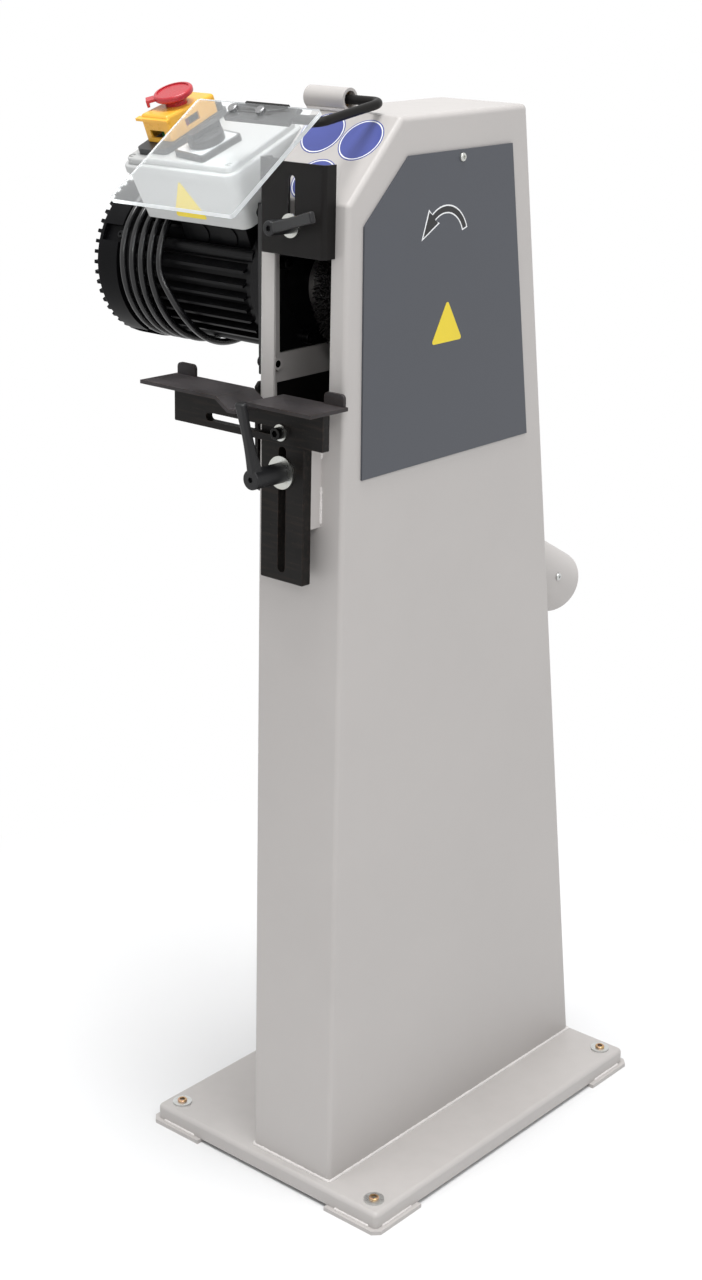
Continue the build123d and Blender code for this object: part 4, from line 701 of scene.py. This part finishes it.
class DEBURRING_OT_cable(bpy.types.Operator):
    """Lay the cable from the gland down behind the box and round the motor to its plug"""

    bl_idname = "deburring.cable"
    bl_label = "Mains Cable"

    def execute(self, context):
        cable = settings().cable
        leaves = at(-228.5, 137.114, 1201.597)
        heading = Vector((0.0, 0.94795, 0.31839))
        into_coil = Vector((0.14542, -0.00339, -0.98936))
        coil_start = coil_point(0, cable.turns)
        straight = 0.032
        lead_in = 0.050
        stub = 0.008
        points = [
            leaves,
            leaves + heading * straight,
            at(-236.3, 200, 1202),
            at(-254.3, 225, 1167),
            coil_start - into_coil * (stub + lead_in),
            coil_start - into_coil * stub,
        ]
        steps = cable.turns * cable.steps
        points += [coil_point(step / cable.steps, cable.turns) for step in range(steps + 1)]
        points.append(points[-1] + Vector((0.0, 0.0, -stub)))
        data = bpy.data.curves.new("mains_cable", "CURVE")
        data.dimensions = "3D"
        data.bevel_depth = cable.diameter / 2
        data.bevel_resolution = 5
        data.resolution_u = 8
        spline = data.splines.new("NURBS")
        set_points(spline, points)
        spline.order_u = 3
        spline.use_endpoint_u = True
        data.materials.append(finish("Cable Sheath"))
        piece = new_object("mains_cable", data)
        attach(piece, "frame")
        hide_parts("cable_lead", "cable_coil")
        return {"FINISHED"}


class DEBURRING_OT_finishes(bpy.types.Operator):
    """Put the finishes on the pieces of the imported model"""

    bl_idname = "deburring.finishes"
    bl_label = "Finishes"

    def execute(self, context):
        for name, (_, _, nodes, _) in FINISHES.items():
            for node in nodes:
                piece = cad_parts[node]
                if not piece.material_slots:
                    piece.data.materials.append(finish(name))
                for place in piece.material_slots:
                    place.material = finish(name)
        return {"FINISHED"}


def new_tree(name, inputs):
    """Empty Geometry Nodes tree with named inputs and one geometry out."""
    tree = bpy.data.node_groups.new(name, "GeometryNodeTree")
    for socket, kind in {"Geometry": "Geometry", **inputs}.items():
        tree.interface.new_socket(name=socket, in_out="INPUT", socket_type="NodeSocket" + kind)
    tree.interface.new_socket(name="Geometry", in_out="OUTPUT", socket_type="NodeSocketGeometry")
    return tree, tree.nodes.new("NodeGroupInput").outputs, tree.nodes.new("NodeGroupOutput")


def random_value(tree, low, high, seed, offset):
    """Random number for each point, from a seed of its own."""
    own_seed = math(tree, "ADD", seed, float(offset))
    values = {2: low, 3: high, 8: own_seed}
    return add(tree, "FunctionNodeRandomValue", values, data_type="FLOAT").outputs[1]


def combine(tree, **parts):
    return add(tree, "ShaderNodeCombineXYZ", parts).outputs[0]


def vector_sum(tree, first, second):
    return add(tree, "ShaderNodeVectorMath", {0: first, 1: second}).outputs[0]


def aligned(tree, direction):
    """Turn that sets the Z axis along a direction."""
    made = add(tree, "FunctionNodeAlignRotationToVector", {"Vector": direction}, axis="Z")
    return made.outputs[0]


def stored(tree, geometry, name, value, kind, domain):
    """Geometry with a value kept on it by name."""
    values = {"Geometry": geometry, "Name": name, "Value": value}
    made = add(tree, "GeometryNodeStoreNamedAttribute", values, data_type=kind, domain=domain)
    return made.outputs[0]


def on_points(tree, points, shape, turn, size):
    """A shape on every point, turned and sized."""
    values = {"Points": points, "Instance": shape, "Rotation": turn, "Scale": size}
    return add(tree, "GeometryNodeInstanceOnPoints", values).outputs[0]


def finish_tree(tree, instances, material, result):
    """Real geometry with its material at the end of a tree."""
    real = add(tree, "GeometryNodeRealizeInstances", {0: instances}).outputs[0]
    painted = add(tree, "GeometryNodeSetMaterial", {"Geometry": real, "Material": material})
    fill(tree, result, {0: painted.outputs[0]})


def strand_tree():
    """Strands that stand out from a core along X, each a little askew and of its own length and tone."""
    inputs = {
        "Count": "Int", "Radius": "Float", "Root": "Float", "Tip": "Float", "Width": "Float",
        "Centre": "Vector", "Seed": "Int", "Material": "Material",
    }
    tree, given, result = new_tree("Brush Strands", inputs)
    seed = given["Seed"]
    half = times(tree, given["Width"], 0.5)
    along = random_value(tree, times(tree, half, -1.0), half, seed, 1)
    angle = random_value(tree, 0.0, 2 * pi, seed, 2)
    direction = combine(tree, Y=math(tree, "COSINE", angle), Z=math(tree, "SINE", angle))
    scaled = {0: direction, "Scale": given["Root"]}
    root = add(tree, "ShaderNodeVectorMath", scaled, operation="SCALE").outputs[0]
    place = vector_sum(tree, vector_sum(tree, root, combine(tree, X=along)), given["Centre"])
    points = add(tree, "GeometryNodePoints", {"Count": given["Count"], "Position": place}).outputs[0]
    points = stored(tree, points, "outward", direction, "FLOAT_VECTOR", "POINT")
    kept = add(tree, "GeometryNodeInputNamedAttribute", {"Name": "outward"}, data_type="FLOAT_VECTOR")
    stray = combine(
        tree,
        X=random_value(tree, -0.09, 0.09, seed, 3),
        Y=random_value(tree, -0.07, 0.07, seed, 4),
        Z=random_value(tree, -0.07, 0.07, seed, 5),
    )
    turn = aligned(tree, vector_sum(tree, kept.outputs[0], stray))
    reach = math(tree, "SUBTRACT", given["Tip"], given["Root"])
    sizes = {"Vertices": 5, "Radius": given["Radius"], "Depth": reach}
    strand = add(tree, "GeometryNodeMeshCylinder", sizes, fill_type="NGON").outputs[0]
    lift = combine(tree, Z=times(tree, reach, 0.5))
    raised = add(tree, "GeometryNodeTransform", {"Geometry": strand, "Translation": lift}).outputs[0]
    size = combine(tree, X=1.0, Y=1.0, Z=random_value(tree, 0.95, 0.99, seed, 6))
    grown = on_points(tree, points, raised, turn, size)
    tone = random_value(tree, 0.0, 1.0, seed, 7)
    toned = stored(tree, grown, "tone", tone, "FLOAT", "INSTANCE")
    finish_tree(tree, toned, given["Material"], result)
    return tree


def seam_tree():
    """Rippled weld seam along curves."""
    inputs = {"Half Width": "Float", "Pitch": "Float", "Seed": "Int", "Material": "Material"}
    tree, given, result = new_tree("Weld Seam", inputs)
    runs = {"Curve": given["Geometry"], "Length": given["Pitch"]}
    spaced = add(tree, "GeometryNodeCurveToPoints", runs, mode="LENGTH").outputs
    drop = add(tree, "GeometryNodeMeshUVSphere", {"Segments": 8, "Rings": 5, "Radius": 1.0}).outputs[0]
    wider = random_value(tree, 0.80, 1.12, given["Seed"], 1)
    longer = random_value(tree, 0.85, 1.15, given["Seed"], 2)
    across = times(tree, given["Half Width"], wider)
    ahead = times(tree, given["Pitch"], longer)
    size = combine(tree, X=across, Y=across, Z=ahead)
    laid = on_points(tree, spaced[0], drop, aligned(tree, spaced["Tangent"]), size)
    smooth = add(tree, "GeometryNodeSetShadeSmooth", {"Geometry": laid}).outputs[0]
    finish_tree(tree, smooth, given["Material"], result)
    return tree


def grow(name, start, tree, values):
    """Plain mesh object from what a Geometry Nodes tree makes of the start data."""
    source = new_object(name + "_source", start)
    modifier = source.modifiers.new("grow", "NODES")
    modifier.node_group = tree
    for item in tree.interface.items_tree:
        if item.in_out == "INPUT" and item.name in values:
            modifier[item.identifier] = values[item.name]
    graph = bpy.context.evaluated_depsgraph_get()
    mesh = bpy.data.meshes.new_from_object(
        source.evaluated_get(graph), preserve_all_data_layers=True, depsgraph=graph
    )
    bpy.data.objects.remove(source)
    if not mesh.polygons:
        raise RuntimeError(name + " came out empty")
    mesh.name = name
    return new_object(name, mesh)


class DEBURRING_OT_strands(bpy.types.Operator):
    """Grow the strands of the brush on its core"""

    bl_idname = "deburring.strands"
    bl_label = "Brush Strands"

    def execute(self, context):
        strand = settings().strand
        low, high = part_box("brush_bristles")
        values = {
            "Count": strand.count, "Radius": strand.radius, "Root": strand.inner, "Tip": strand.outer,
            "Width": strand.width, "Centre": tuple((low + high) / 2), "Seed": strand.seed,
            "Material": finish("Brush Strands"),
        }
        piece = grow("brush_strands", bpy.data.meshes.new("strand_start"), strand_tree(), values)
        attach(piece, "rotor")
        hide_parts("brush_bristles")
        return {"FINISHED"}


def nozzle_seam():
    """Points round the nozzle where it meets the sloping back."""
    droop = radians(30)
    radius = 40.6
    middle_z = 700
    steps = 48
    ahead = Vector((0, cos(droop), -sin(droop)))
    upward = Vector((0, sin(droop), cos(droop)))
    start = Vector((0, COLUMN_DEPTH - BACK_LEAN * (middle_z - TRAY_TOP), middle_z))
    points = []
    for step in range(steps + 1):
        angle = 2 * pi * step / steps
        rim = start + Vector((radius * cos(angle), 0, 0)) + upward * radius * sin(angle)
        gap = COLUMN_DEPTH - BACK_LEAN * (rim.z - TRAY_TOP) - rim.y
        points.append(at(*(rim + ahead * (gap / (ahead.y + BACK_LEAN * ahead.z)))))
    return points


def foot_runs():
    """Runs of the seam between the column and the tray."""
    front, back, inset = 3, COLUMN_DEPTH - 2, COLUMN_SIDE - 3
    sides = [[at(x, front, TRAY_TOP), at(x, back, TRAY_TOP)] for x in (-COLUMN_SIDE, COLUMN_SIDE)]
    ends = [[at(-inset, y, TRAY_TOP), at(inset, y, TRAY_TOP)] for y in (0, COLUMN_DEPTH)]
    return sides + ends


def stitch_runs():
    """Runs of the short seams on the corner plates, the rest bracket, the pivot tube and the nozzle."""
    near, far, plate_z = 14, 62, 5.2
    bracket_x, bracket_out = 31, 0.2
    tube_y, tube_z, tube_foot = 111, 1251.2, 7.4
    runs = [nozzle_seam()]
    for side, x, inward in ((-1, -215, 1), (1, 147, -1)):
        for y, back in ((-14, 1), (492, -1)):
            runs.append([at(x + inward * reach, y, plate_z) for reach in (near, far)])
            runs.append([at(x, y + back * reach, plate_z) for reach in (near, far)])
        for heights in ((830, 866), (902, 940)):
            runs.append([on_front(side * bracket_x, height, bracket_out) for height in heights])
        runs.append([at(tube_x, tube_y + side * tube_foot, tube_z) for tube_x in (-68, -20)])
    return runs


def curve_of(runs):
    """Curve data of straight runs."""
    data = bpy.data.curves.new("seam_runs", "CURVE")
    data.dimensions = "3D"
    for run in runs:
        set_points(data.splines.new("POLY"), run)
    return data


class DEBURRING_OT_seams(bpy.types.Operator):
    """Lay the painted weld seams on the column, tray, bracket, tube and nozzle"""

    bl_idname = "deburring.seams"
    bl_label = "Weld Seams"

    def execute(self, context):
        seam = settings().seam
        tree = seam_tree()
        seams = (("foot_seams", foot_runs(), seam.foot), ("stitch_seams", stitch_runs(), seam.stitch))
        for name, runs, half_width in seams:
            values = {
                "Half Width": half_width, "Pitch": seam.pitch, "Seed": seam.seed,
                "Material": finish("Seam Paint Painted Highlight"),
            }
            piece = grow(name, curve_of(runs), tree, values)
            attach(piece, "frame")
        return {"FINISHED"}


def walls(mesh, lower, upper):
    """Faces between two loops of points, looking outwards where the loops run anticlockwise."""
    made = []
    for i in range(len(lower)):
        j = (i + 1) % len(lower)
        made.append(mesh.faces.new((lower[i], lower[j], upper[j], upper[i])))
    return made


def film(name, layers, origin, across, upward, body, slot):
    """Stack of flat film layers on a face: each is its outline, inner outline, level and finish."""
    outward = across.cross(upward)
    thick = settings().mark.film
    mesh = bmesh.new()

    def loop(ring, height):
        lift = outward * height
        return [mesh.verts.new(origin + across * x + upward * y + lift) for x, y in ring or ()]

    finishes = []
    for outline, hole, level, key in layers:
        if key not in finishes:
            finishes.append(key)
        low_outer, low_inner = loop(outline, 0.0), loop(hole, 0.0)
        top_outer, top_inner = loop(outline, thick * level), loop(hole, thick * level)
        faces = walls(mesh, low_outer, top_outer) + walls(mesh, low_inner[::-1], top_inner[::-1])
        if hole:
            faces += walls(mesh, top_outer, top_inner)
        else:
            faces.append(mesh.faces.new(top_outer))
        for face in faces:
            face.material_index = finishes.index(key)
    data = bpy.data.meshes.new(name)
    mesh.to_mesh(data)
    mesh.free()
    for key in finishes:
        data.materials.append(finish(key))
    piece = new_object(name, data)
    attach(piece, body)


def arc(radius, angles):
    return [(radius * cos(angle), radius * sin(angle)) for angle in angles]


def circle(radius, count=64):
    return arc(radius, [2 * pi * i / count for i in range(count)])


def rounded_corners(corners, radius, steps=6):
    """Polygon with rounded corners, anticlockwise."""
    points = []
    count = len(corners)
    for i in range(count):
        before, here, after = (Vector(corners[(i + k) % count]) for k in (-1, 0, 1))
        into = (before - here).normalized()
        out = (after - here).normalized()
        half = into.angle(out) / 2
        reach = radius * cos(half) / sin(half)
        middle = here + (into + out).normalized() * radius / sin(half)
        start = here + into * reach - middle
        end = here + out * reach - middle
        for step in range(steps + 1):
            blended = start.lerp(end, step / steps)
            points.append(tuple(middle + blended.normalized() * radius))
    return points


def arrow_outline(border):
    """Bent arrow of the turning direction, grown by a border, anticlockwise, from its arc's centre."""
    middle = 0.0345
    band = 0.0031 + border
    first = radians(20) - border / middle
    last = radians(127)
    steps = 20
    angles = [first + (last - first) * i / steps for i in range(steps + 1)]
    back_angles = [last - (last - first) * i / steps for i in range(steps + 1)]
    neck = Vector((middle * cos(last), middle * sin(last)))
    tip = Vector((-0.038, 0.0075))
    ahead = (tip - neck).normalized()
    side = Vector((-ahead.y, ahead.x))
    tip = tip + ahead * border * 2.6
    root = neck - ahead * border
    barb = side * (0.0098 + border * 1.7)
    head = [tuple(root - barb), tuple(tip), tuple(root + barb)]
    return arc(middle + band, angles) + head + arc(middle - band, back_angles)


class DEBURRING_OT_marks(bpy.types.Operator):
    """Stick the plain discs, triangles, the turning arrow and the selector's inlay on their faces"""

    bl_idname = "deburring.marks"
    bl_label = "Plain Marks"

    def execute(self, context):
        self.discs()
        self.door_marks()
        self.box_marks()
        return {"FINISHED"}

    def discs(self):
        radius = settings().mark.disc
        slope = Vector((0, CHAMFER_RUN, CHAMFER_RISE)).normalized()
        ring = [
            (circle(radius), circle(radius * 0.955), 1.0, "Blue Film"),
            (circle(radius * 0.955), circle(radius * 0.905), 1.0, "White Film"),
            (circle(radius * 0.905), None, 1.0, "Blue Film"),
        ]
        places = {"left": (-28.6, 82.3), "right": (26.6, 79.4), "low": (-4.0, 40.0)}
        for name, (x, y) in places.items():
            centre = at(x, y, CHAMFER_Z + (y - CHAMFER_Y) * CHAMFER_RISE / CHAMFER_RUN)
            film("disc_" + name, ring, centre, ACROSS, slope, "frame", "column_paint")

    def door_marks(self):
        along = Vector((0, 1, 0))
        upward = Vector((0, 0, 1))
        door_x = 64.4
        corners = [(-0.0268, -0.0232), (0.0268, -0.0232), (0.0, 0.0232)]
        triangle = [(rounded_corners(corners, 0.0026), None, 1.0, "Yellow Film")]
        arrow = [
            (arrow_outline(0.0015), None, 1.0, "White Film"),
            (arrow_outline(0.0), None, 1.6, "Black Film"),
        ]
        place = at(door_x, 182.2, 1028.5)
        film("door_triangle", triangle, place, along, upward, "door", "door_paint")
        film("door_arrow", arrow, at(door_x, 176, 1115), along, upward, "door", "door_paint")

    def box_marks(self):
        low = on_box(-2, -55, 0)
        wall = (on_box(-2, -58, 50) - low).normalized()
        corners = [(-0.0245, 0.0065), (0.0245, 0.0065), (0.0, 0.0495)]
        triangle = [(rounded_corners(corners, 0.0024), None, 1.0, "Yellow Film")]
        film("box_triangle", triangle, low, ACROSS, wall, "frame", "box_plastic")
        u, v, w = 19, -21, 78
        turn = radians(-8)
        middle = on_box(u, v, w)
        level = (on_box(u + cos(turn), v + sin(turn), w) - middle).normalized()
        upward = (on_box(u - sin(turn), v + cos(turn), w) - middle).normalized()
        corners = [(-0.022, -0.026), (0.022, -0.026), (0.022, 0.026), (-0.022, 0.026)]
        inlay = rounded_corners(corners, 0.003)
        hole = [tuple(Vector(point).normalized() * 0.012) for point in inlay]
        layer = [(inlay, hole, 1.0, "Grey Inlay")]
        film("selector_inlay", layer, middle, level, upward, "frame", "black_plastic")


def light(name, place, target, size, power, color):
    data = bpy.data.lights.new(name, "AREA")
    data.shape = "DISK"
    data.size = size
    data.energy = power
    data.color = color
    place = Vector(place)
    turn = (Vector(target) - place).to_track_quat("-Z", "Y").to_matrix().to_4x4()
    new_object(name, data).matrix_world = Matrix.Translation(place) @ turn


def seen_directly(tree):
    """Mask of the rays that show the background: straight, mirrored or through glass."""
    path = add(tree, "ShaderNodeLightPath").outputs
    shown = math(tree, "MAXIMUM", path["Is Camera Ray"], path["Is Glossy Ray"])
    return math(tree, "MAXIMUM", shown, path["Is Transmission Ray"])


class DEBURRING_OT_stage(bpy.types.Operator):
    """Set the pale floor, the even room light, the three soft lamps and the small one"""

    bl_idname = "deburring.stage"
    bl_label = "Stage"

    def execute(self, context):
        stage = settings().stage
        scene = context.scene
        scene.view_settings.view_transform = "Standard"
        world = bpy.data.worlds.new("Studio")
        scene.world = world
        world.use_nodes = True
        tree = world.node_tree
        even = tree.nodes["Background"]
        fill(tree, even, {"Color": SKY, "Strength": stage.sky})
        white = add(tree, "ShaderNodeBackground", {"Color": WHITE, "Strength": 1.0})
        mix_surface(tree, "World Output", seen_directly(tree), even, white)
        self.floor(stage.floor)
        middle = (0.0, 0.0, 0.75)
        head = (0.0, -0.1, 1.0)
        light("key_light", (-1.0, -2.1, 2.4), middle, 1.6, stage.key, (1.0, 0.99, 0.97))
        light("fill_light", (2.0, -0.7, 2.6), middle, 1.6, stage.fill, (0.98, 0.99, 1.0))
        light("top_light", (0.3, -0.9, 12.0), middle, 6.0, stage.top, (1.0, 1.0, 1.0))
        light("glint_light", (1.9, -2.2, 2.3), head, 0.35, stage.glint, (1.0, 1.0, 1.0))
        return {"FINISHED"}

    def floor(self, color):
        reach = 12.0
        corners = [(-reach, -reach, 0), (reach, -reach, 0), (reach, reach, 0), (-reach, reach, 0)]
        data = bpy.data.meshes.new("floor")
        data.from_pydata(corners, [], [(0, 1, 2, 3)])
        floor = new_object("floor", data)
        material, tree, shader, coordinates = start_material("Studio Floor")
        fill(tree, shader, {"Base Color": shade(color, 1.0), "Roughness": 0.75})
        far = add(tree, "ShaderNodeVectorMath", {0: coordinates}, operation="LENGTH").outputs["Value"]
        fade = times(tree, remap(tree, far, 0.35, 0.95), seen_directly(tree))
        glow = add(tree, "ShaderNodeEmission", {"Color": WHITE, "Strength": 1.0})
        mix_surface(tree, "Material Output", fade, shader, glow)
        data.materials.append(material)


OPERATORS = (
    DEBURRING_OT_camera, DEBURRING_OT_cable, DEBURRING_OT_finishes, DEBURRING_OT_strands,
    DEBURRING_OT_seams, DEBURRING_OT_marks, DEBURRING_OT_stage,
)


class DEBURRING_PT_panel(bpy.types.Panel):
    """List of the steps that dress the machine"""

    bl_idname = "DEBURRING_PT_panel"
    bl_label = "Brush Deburring Machine"
    bl_space_type = "VIEW_3D"
    bl_region_type = "UI"
    bl_category = "Deburring"

    def draw(self, context):
        for operator in OPERATORS:
            self.layout.operator(operator.bl_idname)


GROUPS = (
    PaintSettings, MetalSettings, PlasticSettings, CableSettings, StrandSettings, SeamSettings,
    MarkSettings, StageSettings, DeburringSettings,
)


def register():
    for item in (*GROUPS, *OPERATORS, DEBURRING_PT_panel):
        bpy.utils.register_class(item)
    bpy.types.Scene.deburring = PointerProperty(type=DeburringSettings)


def unregister():
    del bpy.types.Scene.deburring
    for item in reversed((*GROUPS, *OPERATORS, DEBURRING_PT_panel)):
        bpy.utils.unregister_class(item)


def main():
    register()
    for operator in OPERATORS:
        group, name = operator.bl_idname.split(".")
        getattr(getattr(bpy.ops, group), name)()


if __name__ == "__main__":
    main()
